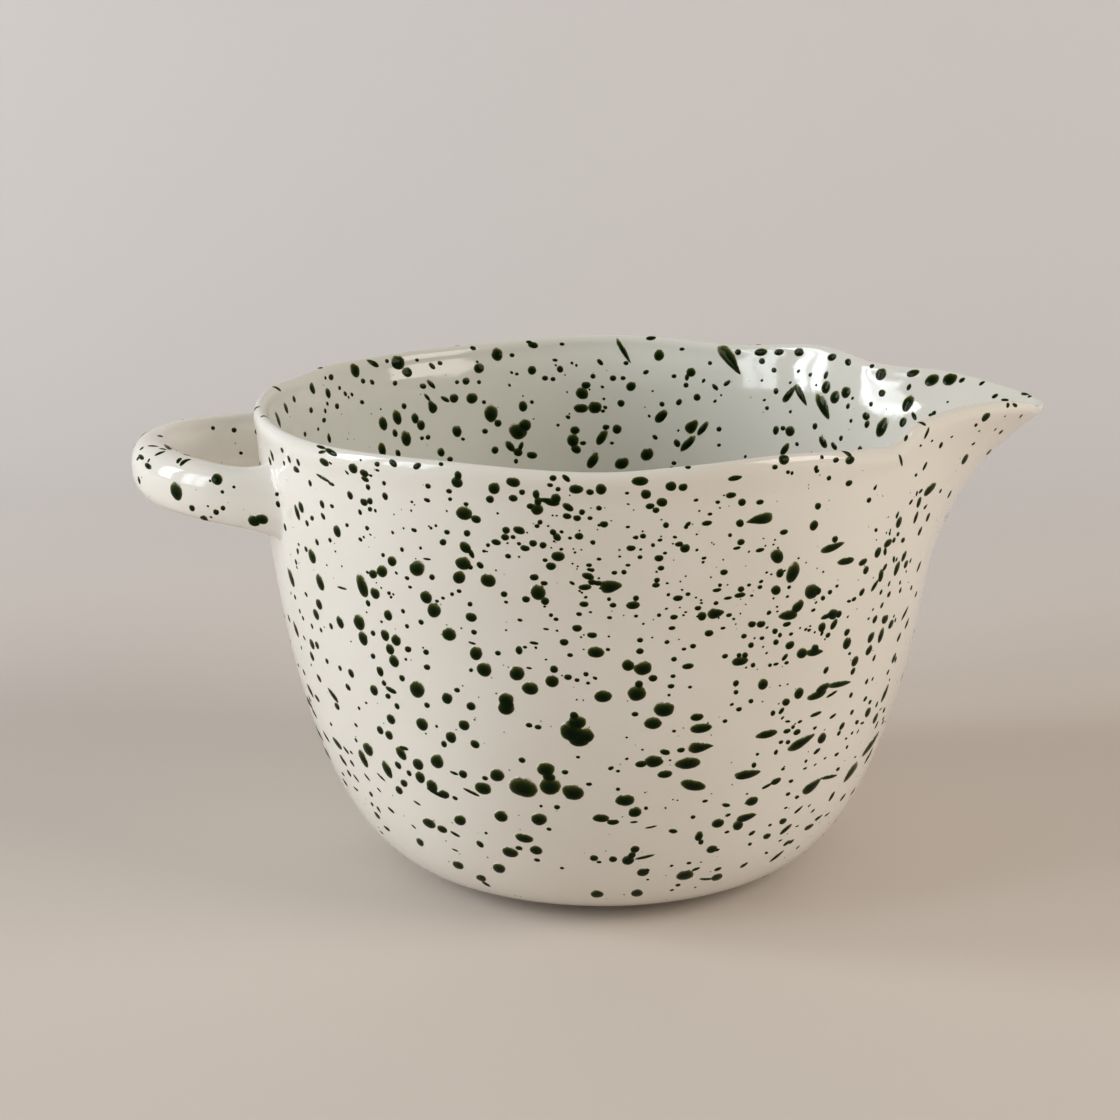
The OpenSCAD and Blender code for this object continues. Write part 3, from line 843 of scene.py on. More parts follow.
# %% Smaller drops on the rim and on the left
small_rim = [
    (277, 388, 12, 3, -15), (294, 399, 4, 7), (286, 408, 11, 5, -70), (278, 419, 17, 6, -62),
    (311, 410, 5, 6), (305, 434, 4, 5), (331, 452, 16, 5, -30), (321, 447, 12, 3, -25),
    (322, 452, 9, 3, 5),
    (324, 462, 12, 7), (323, 478, 18, 3, -22), (353, 468, 10, 11), (364, 473, 10, 7),
    (365, 479, 9, 5), (377, 464, 6, 5), (393, 463, 10, 6, -45), (417, 466, 9, 6, 30),
    (441, 464, 5, 4), (450, 459, 6, 5), (256, 408, 9, 3, 25), (264, 416, 9, 2, -5),
    (272, 455, 4, 12), (270, 461, 4, 10), (282, 450, 4, 6), (289, 459, 4, 8), (298, 462, 4, 8),
    (284, 463, 3, 5), (260, 464, 3, 8, 55), (566, 478, 10, 5, -45), (553, 478, 7, 6),
    (550, 485, 6, 4), (558, 489, 5, 5), (590, 492, 8, 6), (688, 467, 6, 4), (775, 467, 6, 5),
    (788, 472, 4, 4), (792, 473, 3, 4), (816, 468, 4, 6), (822, 457, 4, 4), (836, 460, 7, 5),
    (829, 478, 5, 5), (901, 460, 14, 3, -65), (906, 438, 3, 8), (922, 423, 10, 3, -20),
    (927, 433, 3, 13), (925, 466, 10, 3, 60), (941, 445, 4, 7, 70), (916, 475, 4, 3),
    (970, 479, 4, 3)]
small_left = [
    (310, 483, 4, 7), (368, 487, 5, 6), (384, 483, 4, 5), (350, 495, 6, 9), (385, 496, 6, 8),
    (364, 502, 9, 7), (370, 501, 6, 7), (370, 509, 5, 5), (360, 512, 4, 6), (322, 504, 5, 9),
    (332, 506, 5, 4), (323, 516, 4, 8, -60), (312, 518, 5, 5), (307, 523, 4, 7), (285, 527, 4, 8),
    (278, 504, 4, 7), (277, 494, 4, 4), (347, 525, 4, 4), (367, 528, 4, 5), (414, 530, 6, 4),
    (317, 542, 4, 7), (330, 540, 4, 5), (306, 549, 4, 6), (296, 562, 3, 6), (295, 597, 3, 5),
    (383, 555, 4, 4), (342, 588, 12, 2, -8), (389, 593, 4, 4), (391, 597, 3, 3), (407, 578, 5, 4),
    (410, 587, 4, 3), (403, 611, 4, 5), (407, 626, 4, 5), (421, 622, 5, 6, -45), (331, 626, 4, 7),
    (321, 630, 3, 5), (312, 626, 3, 6), (303, 618, 3, 5), (296, 629, 5, 17), (289, 618, 3, 9),
    (312, 644, 6, 11), (317, 645, 5, 8), (312, 656, 5, 10), (327, 661, 4, 6), (340, 668, 4, 6),
    (351, 673, 6, 10), (373, 633, 5, 6), (373, 656, 5, 6), (319, 678, 9, 4, -60), (304, 672, 3, 7),
    (348, 687, 8, 5, -55), (384, 683, 6, 5, -60), (391, 690, 13, 5, -25), (388, 696, 6, 6),
    (408, 649, 7, 7), (426, 652, 6, 6), (427, 667, 7, 6), (402, 678, 6, 7), (310, 690, 16, 4, -60),
    (333, 695, 18, 5, -48), (302, 690, 14, 3, -65), (317, 698, 9, 4, -50), (337, 706, 8, 6, -60),
    (397, 706, 5, 7), (427, 705, 6, 6), (359, 708, 3, 4), (391, 719, 9, 11), (380, 730, 7, 9),
    (389, 735, 8, 10), (444, 744, 6, 7), (356, 740, 3, 5), (356, 725, 5, 3, -50), (331, 724, 3, 4),
    (314, 712, 14, 3, -60), (309, 715, 16, 3, -65), (326, 736, 14, 3, -55), (319, 732, 20, 3, -55),
    (337, 743, 16, 6, -48), (346, 750, 10, 3, -50), (327, 752, 18, 5, -55), (343, 760, 14, 4, -55),
    (349, 773, 8, 4, -60), (345, 782, 10, 4, -60), (356, 778, 10, 2, -50), (367, 777, 10, 2, -50),
    (381, 777, 12, 2, -40), (398, 765, 6, 9, -60), (409, 773, 5, 7), (436, 793, 22, 4, -25),
    (455, 798, 6, 4, -25), (371, 794, 4, 6), (372, 804, 3, 5), (377, 815, 9, 5, -60),
    (391, 810, 9, 3, -40), (417, 803, 9, 2, -30), (454, 773, 9, 3, -20), (455, 834, 11, 3, -27),
    (455, 850, 7, 2, -20), (480, 844, 9, 6, -50), (486, 833, 3, 3), (486, 884, 10, 4, -40),
    (471, 792, 18, 3, -25)]
print(len(small_rim) + len(small_left), "smaller drops on the rim and the left")

# %% Smaller drops in the middle
small_middle = [
    (428, 486, 6, 5), (449, 491, 6, 5), (427, 500, 7, 4), (450, 499, 4, 4), (466, 504, 5, 4),
    (513, 498, 9, 7), (522, 492, 6, 6), (530, 506, 7, 6), (568, 507, 12, 7, -30), (567, 516, 9, 6),
    (577, 518, 8, 6), (582, 512, 6, 6), (590, 518, 5, 4), (540, 522, 5, 5), (537, 526, 5, 4),
    (506, 530, 8, 7), (519, 530, 12, 8, -20), (505, 537, 8, 7), (513, 537, 5, 4), (447, 532, 6, 5),
    (443, 542, 7, 7), (431, 528, 3, 3), (496, 542, 10, 6), (488, 545, 4, 4), (525, 548, 10, 6),
    (533, 543, 8, 7), (543, 545, 7, 7), (553, 532, 7, 6, -30), (557, 537, 9, 7, -40),
    (570, 538, 4, 3), (508, 556, 6, 5), (484, 551, 4, 3), (471, 553, 11, 5, -65), (470, 567, 6, 5),
    (480, 565, 8, 6, -45), (558, 556, 14, 10), (551, 566, 10, 8), (545, 560, 5, 4),
    (432, 577, 6, 6), (534, 577, 9, 7), (544, 583, 7, 5), (459, 591, 5, 4), (452, 594, 4, 4),
    (443, 598, 4, 3), (437, 601, 4, 3), (504, 594, 7, 6), (526, 599, 8, 7), (506, 602, 4, 3),
    (470, 604, 5, 5), (551, 615, 4, 4), (556, 619, 5, 4), (579, 614, 6, 4), (572, 583, 6, 3, -30),
    (589, 565, 6, 4), (592, 570, 5, 4), (427, 559, 8, 2, -5), (474, 632, 6, 5), (472, 643, 8, 2),
    (498, 653, 6, 5), (519, 650, 7, 9), (525, 647, 4, 3), (534, 643, 9, 3), (546, 629, 6, 2),
    (520, 620, 5, 3), (577, 628, 10, 7), (592, 635, 10, 6), (564, 642, 9, 7), (570, 655, 6, 4),
    (554, 669, 8, 8), (568, 677, 8, 6), (577, 680, 5, 4), (586, 674, 5, 5), (588, 683, 4, 3),
    (595, 678, 5, 3, -30), (529, 668, 6, 2), (471, 670, 4, 4), (457, 690, 6, 5), (529, 725, 7, 5),
    (538, 727, 7, 5), (475, 744, 10, 8, -35), (522, 760, 7, 6), (565, 772, 7, 5), (578, 757, 4, 3),
    (463, 774, 9, 8, -45), (485, 778, 6, 5), (557, 807, 6, 5), (541, 806, 3, 3), (589, 784, 6, 4),
    (549, 829, 5, 4), (519, 848, 7, 5), (537, 860, 6, 4), (562, 868, 4, 3), (594, 858, 8, 7),
    (599, 862, 5, 3), (613, 859, 8, 7), (599, 508, 6, 5), (604, 524, 8, 7), (627, 493, 4, 3),
    (643, 536, 6, 5), (631, 548, 9, 6), (640, 557, 5, 4), (628, 565, 5, 3), (624, 572, 5, 5),
    (599, 559, 5, 3), (653, 545, 4, 4), (660, 540, 5, 3), (666, 525, 6, 6), (659, 558, 9, 7),
    (661, 568, 7, 5), (665, 553, 4, 3), (657, 580, 6, 5), (656, 585, 8, 5), (650, 506, 9, 6),
    (656, 510, 7, 6), (683, 487, 9, 8), (696, 500, 5, 3), (688, 524, 7, 4, 45), (686, 527, 4, 4),
    (679, 544, 8, 5), (598, 583, 8, 5), (609, 599, 4, 4), (613, 605, 7, 5), (636, 598, 6, 6),
    (636, 616, 4, 3), (659, 615, 4, 4), (674, 617, 8, 5), (672, 628, 7, 4), (678, 598, 10, 6),
    (688, 594, 5, 4), (640, 640, 6, 5), (640, 651, 8, 6), (653, 678, 9, 7), (667, 642, 5, 4),
    (674, 659, 6, 5), (673, 676, 5, 4), (671, 686, 7, 5), (669, 695, 3, 3), (690, 687, 4, 3),
    (635, 714, 7, 5), (665, 752, 10, 6, -15), (681, 750, 8, 5), (611, 768, 6, 4, 30),
    (618, 771, 4, 3), (618, 789, 4, 4), (674, 731, 4, 3), (646, 808, 4, 4), (651, 827, 12, 2, 12),
    (634, 822, 8, 2), (645, 857, 20, 3, 14)]
print(len(small_middle), "smaller drops in the middle")

# %% Smaller drops on the right
small_right = [
    (710, 514, 5, 3), (704, 558, 5, 3), (730, 535, 4, 4), (741, 542, 8, 6), (737, 548, 8, 3),
    (760, 550, 9, 4), (760, 502, 8, 5), (724, 572, 8, 6), (717, 590, 9, 4), (741, 589, 7, 6),
    (740, 595, 12, 5), (728, 598, 9, 3), (716, 603, 5, 4), (749, 585, 4, 3), (760, 587, 5, 4),
    (720, 585, 4, 4), (698, 608, 7, 5), (729, 615, 6, 4), (723, 628, 5, 3), (744, 636, 6, 5),
    (762, 638, 5, 4), (693, 646, 6, 5), (684, 649, 5, 3), (725, 656, 6, 5), (817, 471, 5, 4),
    (869, 500, 6, 5), (818, 506, 7, 7), (835, 539, 7, 7), (876, 530, 4, 4), (919, 502, 12, 5, 72),
    (916, 517, 14, 4, 70), (928, 517, 4, 10), (920, 531, 4, 10), (898, 534, 4, 5), (903, 540, 6, 5),
    (894, 540, 4, 6), (784, 532, 9, 5, 10), (780, 573, 8, 9), (904, 556, 5, 12), (906, 564, 5, 9),
    (897, 568, 16, 6, 72), (881, 575, 14, 6, 85), (885, 567, 8, 4, 60), (875, 585, 15, 4, 55),
    (862, 592, 9, 5, 60), (854, 599, 6, 4, 30), (830, 592, 5, 5), (823, 598, 5, 5),
    (818, 591, 7, 8), (889, 594, 4, 7), (881, 592, 3, 6), (882, 605, 3, 7), (916, 594, 3, 7),
    (919, 566, 3, 13), (905, 613, 16, 3, 55), (907, 623, 3, 13), (875, 619, 9, 5, 65),
    (885, 619, 8, 10), (891, 624, 6, 10), (881, 635, 16, 6, 75), (899, 637, 4, 10),
    (847, 632, 8, 6, 60), (828, 635, 6, 5, 50), (822, 633, 3, 6), (837, 586, 4, 3),
    (869, 650, 11, 7, 60), (775, 631, 6, 6), (780, 635, 4, 5), (776, 642, 6, 6), (751, 645, 6, 6),
    (787, 624, 9, 5), (790, 645, 10, 8, 35), (785, 657, 9, 4, 50), (776, 664, 6, 3),
    (770, 665, 4, 4), (753, 665, 5, 5), (826, 670, 8, 5, 65), (736, 683, 6, 7), (736, 692, 5, 5),
    (751, 701, 5, 5), (786, 702, 8, 8), (739, 709, 6, 5), (773, 713, 5, 6), (816, 714, 13, 4),
    (833, 716, 9, 3, 30), (852, 712, 4, 6), (857, 722, 5, 5), (868, 712, 11, 7, 70),
    (870, 702, 4, 5), (851, 695, 4, 6), (853, 671, 5, 8), (725, 721, 5, 4), (787, 731, 8, 5),
    (793, 727, 4, 4), (797, 732, 8, 6), (788, 742, 5, 5), (781, 742, 5, 4), (776, 752, 4, 6),
    (842, 726, 9, 5, 60), (839, 733, 4, 6), (817, 751, 9, 4, 40), (847, 747, 3, 4),
    (806, 761, 3, 4), (754, 765, 5, 6), (838, 769, 5, 4), (791, 781, 5, 4), (783, 769, 4, 3),
    (869, 755, 20, 3, 62), (865, 773, 12, 3, 60), (885, 693, 19, 5, 68), (897, 700, 14, 3, 70),
    (884, 710, 6, 4, 70), (894, 658, 11, 5, 72), (888, 672, 3, 6), (797, 797, 5, 4),
    (788, 794, 5, 4), (832, 796, 12, 4, 62), (843, 797, 10, 4, 50), (853, 791, 10, 3, 60),
    (693, 817, 5, 4), (705, 801, 6, 3), (726, 805, 9, 4, -15), (728, 815, 6, 3, 20),
    (673, 831, 9, 5, -15), (727, 832, 5, 3), (752, 833, 8, 4, 35), (750, 844, 4, 4),
    (767, 836, 8, 7), (783, 821, 8, 7), (770, 825, 4, 3), (744, 865, 9, 4, 35),
    (696, 869, 9, 3, 20), (689, 863, 5, 3), (706, 879, 14, 3, -10), (678, 885, 5, 4),
    (672, 890, 4, 3), (718, 869, 8, 4, 20), (701, 842, 5, 6)]
print(len(small_right), "smaller drops on the right")

# %% Smaller drops on the inside, spout and handle
small_inside = [
    (337, 406, 5, 6), (324, 420, 5, 5), (362, 402, 5, 4), (404, 406, 5, 6), (395, 433, 5, 8),
    (398, 453, 5, 8), (329, 438, 4, 10), (331, 377, 6, 6), (363, 381, 5, 5), (372, 382, 6, 4, -45),
    (395, 383, 5, 5), (387, 361, 4, 4), (440, 363, 5, 4), (432, 366, 8, 4, -45), (417, 360, 4, 3),
    (423, 386, 7, 5), (431, 384, 12, 4, -45), (445, 399, 10, 4, -30), (427, 397, 9, 3, -50),
    (428, 437, 5, 5), (422, 438, 4, 4), (463, 439, 4, 3), (457, 382, 4, 4), (473, 348, 6, 4),
    (453, 346, 5, 2), (479, 382, 4, 4), (484, 402, 4, 4), (485, 431, 6, 5), (512, 355, 5, 4),
    (545, 378, 6, 5), (553, 379, 5, 4), (555, 360, 5, 3), (560, 369, 6, 7), (562, 344, 5, 3),
    (593, 376, 5, 5), (600, 362, 8, 4, -45), (613, 378, 6, 6), (623, 378, 5, 4), (626, 363, 5, 4),
    (558, 425, 3, 3), (603, 411, 4, 3), (583, 443, 6, 4), (606, 427, 5, 7), (516, 461, 4, 5),
    (612, 443, 4, 3), (529, 342, 6, 3), (651, 338, 10, 4), (646, 372, 6, 4, 30), (682, 349, 5, 3),
    (674, 376, 5, 4), (662, 404, 5, 5), (679, 402, 7, 5, 50), (687, 377, 7, 4, 80),
    (686, 385, 5, 5), (710, 363, 4, 4), (738, 352, 6, 6), (715, 387, 8, 4, -45),
    (727, 383, 8, 4, 40), (776, 391, 5, 6), (767, 408, 4, 4), (719, 429, 5, 5), (719, 445, 4, 3),
    (677, 443, 8, 6, -60), (655, 437, 6, 4, -45), (674, 463, 5, 4), (762, 361, 6, 6),
    (774, 370, 5, 5), (783, 428, 5, 5), (797, 444, 4, 4), (872, 366, 5, 4), (826, 375, 4, 8),
    (848, 406, 4, 6), (871, 404, 4, 5), (815, 426, 5, 7), (841, 438, 4, 6), (834, 446, 9, 5, -50),
    (909, 387, 4, 7), (914, 416, 9, 4, -60), (962, 380, 7, 4), (982, 383, 7, 3), (995, 396, 7, 4),
    (1005, 400, 8, 3, -10), (1008, 405, 4, 6), (1015, 405, 7, 4, -15), (1030, 396, 5, 3),
    (976, 425, 4, 4), (1001, 432, 6, 4), (1021, 416, 3, 5)]
small_loop = [
    (185, 419, 7, 3), (160, 436, 6, 4, -20), (153, 446, 12, 2, -15), (160, 453, 12, 3, 20),
    (163, 449, 8, 2, -20), (241, 453, 4, 3), (211, 517, 3, 2), (226, 526, 8, 2, -15)]
print(len(small_inside) + len(small_loop), "smaller drops inside and on the handle")

# %% [markdown]
# Where no tilt was read, the drop leans the way its neighbours do. The brush was flicked
# from the left, so drops stand steep on the left flank, are round in the middle and rise
# to the right on the right flank. A drop's rim fades into the white, so each is laid a
# little larger than it looks.

# %% Laying the drops of the photograph
lean_u = (300, 420, 540, 660, 800, 900)
lean_wide = (-30, -20, -8, 6, 12, 35)
lean_tall = (-72, -72, -88, 84, 72, 65)
melted_share, melted_px = 1.1, 0.9
face_share, least_rough, more_rough, rough_area = 0.3, 0.018, 0.03, 400
spray_seed = 7
spray = random.Random(spray_seed)


def camera_ray(u, v):
    """The way that a picture point looks in."""
    way = Vector(((u - image_px / 2) / focal_px, (image_px / 2 - v) / focal_px, -1))
    return (camera_turn @ way).normalized()


def seen(u, v):
    """The spot of the skin that a picture point shows."""
    return skin_tree.ray_cast(camera_place, camera_ray(u, v))[0]


def lay_photo_drop(u, v, wide, tall, tilt=None, point_share=0):
    """Lays a drop that was read off the photograph."""
    spot = seen(u, v)
    if spot is None:
        return
    look = (spot - camera_place).normalized()
    normal = touch(spot)[1]
    facing = (normal - look * face_share).normalized()
    if tilt is None:
        tilt = float(np.interp(u, lean_u, lean_wide if wide >= tall else lean_tall))
    point = (spot - camera_place).length / focal_px
    rough = least_rough + more_rough * min(1, wide * tall / rough_area)
    long, short = [(size * melted_share + melted_px) * point / mm
                   for size in (max(wide, tall), min(wide, tall))]
    line = outline(long, short, tilt, point_share, rough, spray)
    ways = []
    for x, y in line:
        ray = camera_ray(u + x * mm / point, v - y * mm / point)
        far = (spot - camera_place).dot(facing) / ray.dot(facing)
        way = camera_place + ray * far - spot
        ways.append(way - normal * way.dot(normal))
    lay_drop(spot, ways)


read_drops = (drops_left + drops_right + drops_inner_left + drops_inner_right
              + drops_spout_and_loop + small_rim + small_left + small_middle + small_right
              + small_inside + small_loop)
for row in read_drops:
    lay_photo_drop(*row)
print("Laid so far:", drop_count)

# %% [markdown]
# Between the drops that can be told apart lies finer spray, in clouds that are dense in
# some places and thin in others. Reading each speck would take for ever, so only the
# clouds are read: the middle of each, how far it spreads, how many drops it holds, their
# usual size, their tilt and how drawn out they are.

# %% Clouds of fine spray
clouds = [
    (550, 535, 50, 24, 34, 2.6, -10, 1.2), (380, 560, 60, 60, 30, 2.6, -60, 1.3),
    (303, 620, 12, 60, 22, 4, -72, 1.9), (308, 715, 12, 36, 18, 5, -62, 3),
    (350, 765, 18, 22, 12, 4, -55, 2.2), (570, 625, 40, 32, 16, 2.6, -15, 1.3),
    (680, 590, 60, 50, 34, 2.6, 8, 1.3), (790, 610, 50, 50, 50, 3, 30, 1.4),
    (890, 600, 16, 62, 46, 4, 72, 1.8), (880, 725, 20, 38, 30, 5, 60, 2.4),
    (800, 735, 50, 40, 30, 3, 25, 1.8), (925, 500, 22, 16, 14, 4, 60, 2),
    (660, 860, 60, 24, 10, 3, 5, 1.6), (800, 830, 28, 24, 14, 4, 38, 2.6),
    (690, 520, 60, 26, 20, 2.6, 6, 1.4), (660, 780, 70, 50, 14, 2.6, 8, 1.3),
    (450, 700, 70, 60, 16, 2.6, -50, 1.2), (390, 810, 30, 30, 12, 3.5, -45, 2.4),
    (330, 385, 26, 26, 12, 3, -70, 1.5), (560, 390, 90, 40, 26, 2.8, -40, 1.2),
    (780, 400, 90, 36, 22, 3, 50, 1.3), (345, 470, 34, 12, 12, 3.5, -30, 1.8),
    (960, 430, 40, 20, 10, 3, 30, 1.6), (205, 485, 40, 22, 5, 2.6, -40, 1.3),
    (145, 450, 12, 14, 6, 3.5, 40, 2)]
cloud_share, size_shift, size_spread, tilt_spread, point_spread = 0.75, -0.12, 0.34, 14, 0.12
crowd_share, crowd_skip, most_pointed = 0.85, 0.85, 0.6
taken = [(u, v, max(wide, tall) / 2) for u, v, wide, tall, *_ in read_drops]


def crowded(u, v, reach):
    """Whether a drop would pile up on one that is already there."""
    return any(math.hypot(u - x, v - y) < crowd_share * (reach + other)
               for x, y, other in taken)


for u, v, spread_u, spread_v, count, size, tilt, stretch in clouds:
    for _ in range(count):
        across = spray.gauss(u, spread_u * cloud_share)
        down = spray.gauss(v, spread_v * cloud_share)
        wide = size * math.exp(spray.gauss(size_shift, size_spread))
        drawn = 1 + (stretch - 1) * spray.uniform(0.4, 1.6)
        turned = spray.gauss(tilt, tilt_spread)
        point_share = spray.gauss(0, point_spread * stretch)
        if crowded(across, down, wide / 2) and spray.random() < crowd_skip:
            continue
        taken.append((across, down, wide / 2))
        lay_photo_drop(across, down, wide * drawn**0.7, wide * drawn**-0.5, turned,
                       max(-most_pointed, min(most_pointed, point_share)))
print("With the clouds:", drop_count)

# %% [markdown]
# ## The rest of the splatter
#
# The far side and the floor aren't in the photograph, so they get the same kind of
# splatter by chance, from a fixed seed. Sizes follow a bell curve of their logarithm,
# with few large drops and many small ones, as a flicked brush gives. Where the camera
# looks, only the fine spray between the drops is added.

# %% Random drops
sight_slack, most_drawn, drawn_spread, point_from, flick_spread = 1 * mm, 2.2, 0.35, 1.3, 22
outer_range, inner_range, floor_below, floor_reach = (4, 122), (-28, 120), 12 * mm, 68 * mm
outer_start, floor_start, crest_reach = 0.3, 0.1, 6


def in_sight(place):
    """Whether the camera of the photograph sees a place of the skin."""
    way = place - camera_place
    hit = skin_tree.ray_cast(camera_place, way.normalized())[0]
    return hit is not None and (hit - place).length < sight_slack


def lay_random_drop(point, typical, spread, largest, flick, only_hidden):
    """Lays a drop of a chance size, drawn out along the flick, with sizes in mm."""
    place, normal, _, _ = touch(point)
    if only_hidden and in_sight(place):
        return False
    size = min(largest, typical * math.exp(spray.gauss(0, spread)))
    drawn_out = 1 + min(most_drawn, abs(spray.gauss(0, drawn_spread)))
    pointed = max(0, min(most_pointed, (drawn_out - point_from) * most_pointed))
    pointed *= spray.choice((-1, 1))
    level = normal.cross(Vector((0, 0, 1)))
    level = Vector((1, 0, 0)) if level.length < 0.1 else level.normalized()
    rise = normal.cross(level)
    if rise.z < 0:
        level, rise = -level, -rise
    line = outline(size * drawn_out**0.6, size * drawn_out**-0.4,
                   spray.gauss(flick, flick_spread), pointed, 0.05 if size > 1.2 else 0.03, spray)
    sign = 1 if level.cross(rise).dot(normal) > 0 else -1
    ways = [level * x * mm + rise * y * mm for x, y in line[::sign]]
    lay_drop(place, ways)
    return True


def flick_at(azimuth):
    """The way the brush was flicked, as a tilt in degrees that turns slowly round."""
    return 62 * math.sin(2 * azimuth + 0.9) + 14 * math.sin(5 * azimuth)


def outside_spot():
    """A chance place on the outer face, with its azimuth."""
    azimuth, z = spray.uniform(-math.pi, math.pi), spray.uniform(*outer_range) * mm
    way = Vector((math.cos(azimuth), math.sin(azimuth), 0))
    hit = skin_tree.ray_cast(way * outer_start + Vector((0, 0, z)), -way)[0]
    return hit, azimuth


def inside_spot():
    """A chance place on the inner face or on the floor, with its azimuth."""
    azimuth, z = spray.uniform(-math.pi, math.pi), spray.uniform(*inner_range) * mm
    way = Vector((math.cos(azimuth), math.sin(azimuth), 0))
    if z < floor_below:
        out = floor_reach * math.sqrt(spray.random())
        start = way * out + Vector((0, 0, floor_start))
        return skin_tree.ray_cast(start, Vector((0, 0, -1)))[0], azimuth
    return skin_tree.ray_cast(Vector((0, 0, z)), way)[0], azimuth


def rim_spot():
    """A chance place on the crest of the rim, with its azimuth."""
    azimuth = spray.uniform(-math.pi, math.pi)
    column = int(np.argmin(np.abs(np.radians(azimuths) - azimuth)))
    crest = vessel[column, int(half_way) + spray.randint(-crest_reach, crest_reach)]
    return Vector(crest), azimuth


def handle_spot():
    """A chance place on the handle, with its azimuth."""
    place = Vector(handle_points[spray.randrange(len(handle_points))])
    return place, math.atan2(place.y, place.x)


batches = [(outside_spot, 800, 2.3, 0.36, 7.2, True), (inside_spot, 750, 2.2, 0.36, 6.5, True),
           (rim_spot, 60, 1.9, 0.3, 3, True), (handle_spot, 60, 2, 0.35, 3.6, True),
           (outside_spot, 700, 0.95, 0.4, 2, True), (inside_spot, 480, 0.9, 0.38, 1.8, True),
           (rim_spot, 60, 0.8, 0.3, 1.4, True), (handle_spot, 50, 0.75, 0.3, 1.4, True),
           (outside_spot, 400, 0.48, 0.22, 0.8, False), (inside_spot, 260, 0.48, 0.22, 0.8, False)]
for spot_maker, tries, typical, spread, largest, only_hidden in batches:
    laid = 0
    for _ in range(tries):
        spot, azimuth = spot_maker()
        if spot is not None:
            laid += lay_random_drop(spot, typical, spread, largest, flick_at(azimuth),
                                    only_hidden)
    print(spot_maker.__name__, "laid", laid, "drops of about", typical, "mm")

# %% [markdown]
# Drops that touch melt into one pool. Joining their meshes would be slow and fragile.
# Each point that lies over a neighbour takes on the neighbour's thickness as well, so the
# colour runs on from drop to drop without an edge between them.

# %% Drops that run together
centres = KDTree(len(all_drops))
for number, (_, _, _, centre, *_) in enumerate(all_drops):
    centres.insert(centre, number)
centres.balance()
pool_low, tiny = 0.3, 1e-30
longest = max(max(along.length, across.length) for *_, along, across, _ in all_drops)
joined = 0
for number, (group, first, last, centre, long_way, short_way, _) in enumerate(all_drops):
    reach = max(long_way.length, short_way.length)
    drop = drops[group]
    for _, other, distance in centres.find_range(centre, reach + longest):
        *_, middle, along, across, strength = all_drops[other]
        if other == number or distance > reach + max(along.length, across.length):
            continue
        aa, bb, ab = along.dot(along), across.dot(across), along.dot(across)
        area = max(aa * bb - ab * ab, tiny)
        for k in range(first, last):
            offset = drop["points"][k] - middle
            oa, ob = offset.dot(along), offset.dot(across)
            out = ((oa * bb - ob * ab)**2 + (ob * aa - oa * ab)**2) / area**2
            if out < 1:
                over = strength * (1 - out)**dome_power
                drop["thick"][k] = min(1, drop["thick"][k] + over)
                drop["low"][k] += over * (pool_low - drop["low"][k])
                joined += 1
print(joined, "points lie over a neighbour")

# %% Splatter pieces
splatter = []
for group, drop in drops.items():
    mesh = bpy.data.meshes.new("splatter_" + group)
    mesh.from_pydata(drop["points"], [], drop["faces"])
    mesh.polygons.foreach_set("use_smooth", [True] * len(drop["faces"]))
    for name in ("thick", "low", "inside"):
        mesh.attributes.new(name, "FLOAT", "POINT").data.foreach_set("value", drop[name])
    piece = link_piece("splatter_" + group, mesh)
    splatter.append(piece)
    print(piece.name, "has", drop_count[group], "drops and", len(drop["faces"]), "faces")

# %% [markdown]
# ## Lights and backdrop
#
# Two windows on the left do most of the work. Each has two panes, because the dark bar
# between them shows up in the reflections on a glaze. A weaker light fills from the right,
# and a pale sweep of paper stands under and behind the bowl. The paper is a little warmer
# under the bowl and throws a warm light up at the wall.

# %% Backdrop
sweep_material = bpy.data.materials.new("pale_sweep")
sweep_material.use_nodes = True
sweep_tree = sweep_material.node_tree
sweep_shader = sweep_tree.nodes["Principled BSDF"]
sweep_shader.inputs["Roughness"].default_value = 0.9
sweep_place = sweep_tree.nodes.new("ShaderNodeTexCoord")
sweep_axes = sweep_tree.nodes.new("ShaderNodeSeparateXYZ")
sweep_ramp = sweep_tree.nodes.new("ShaderNodeValToRGB")
sweep_tree.links.new(sweep_place.outputs["Object"], sweep_axes.inputs["Vector"])
sweep_tree.links.new(sweep_axes.outputs["Y"], sweep_ramp.inputs["Fac"])
sweep_tree.links.new(sweep_ramp.outputs["Color"], sweep_shader.inputs["Base Color"])
sweep_stops = [(0.08, (0.645, 0.58, 0.525, 1)), (0.45, (0.69, 0.66, 0.65, 1))]
for element, (position, colour) in zip(sweep_ramp.color_ramp.elements, sweep_stops):
    element.position = position
    element.color = colour

sweep_half, sweep_front, sweep_back, sweep_bend, sweep_top = 4, -2.4, 0.9, 0.5, 2.6
sweep_line = [(sweep_front, 0), (sweep_back - sweep_bend, 0)]
sweep_line += [(sweep_back - sweep_bend + sweep_bend * math.sin(a), sweep_bend * (1 - math.cos(a)))
               for a in np.linspace(0, math.pi / 2, 17)[1:]]
sweep_line += [(sweep_back, sweep_top)]
sweep_points = [(x, y, z) for y, z in sweep_line for x in (-sweep_half, sweep_half)]
sweep_mesh = bpy.data.meshes.new("backdrop")
sweep_mesh.from_pydata(sweep_points, [], [(2 * i, 2 * i + 1, 2 * i + 3, 2 * i + 2)
                                          for i in range(len(sweep_line) - 1)])
sweep_mesh.polygons.foreach_set("use_smooth", [True] * len(sweep_mesh.polygons))
sweep_mesh.materials.append(sweep_material)
backdrop = bpy.data.objects.new("backdrop", sweep_mesh)
bpy.context.scene.collection.objects.link(backdrop)
print("Backdrop rises", sweep_top, "m")

# %% Lights
look_at = Vector((0, 0, bowl_h / 2))


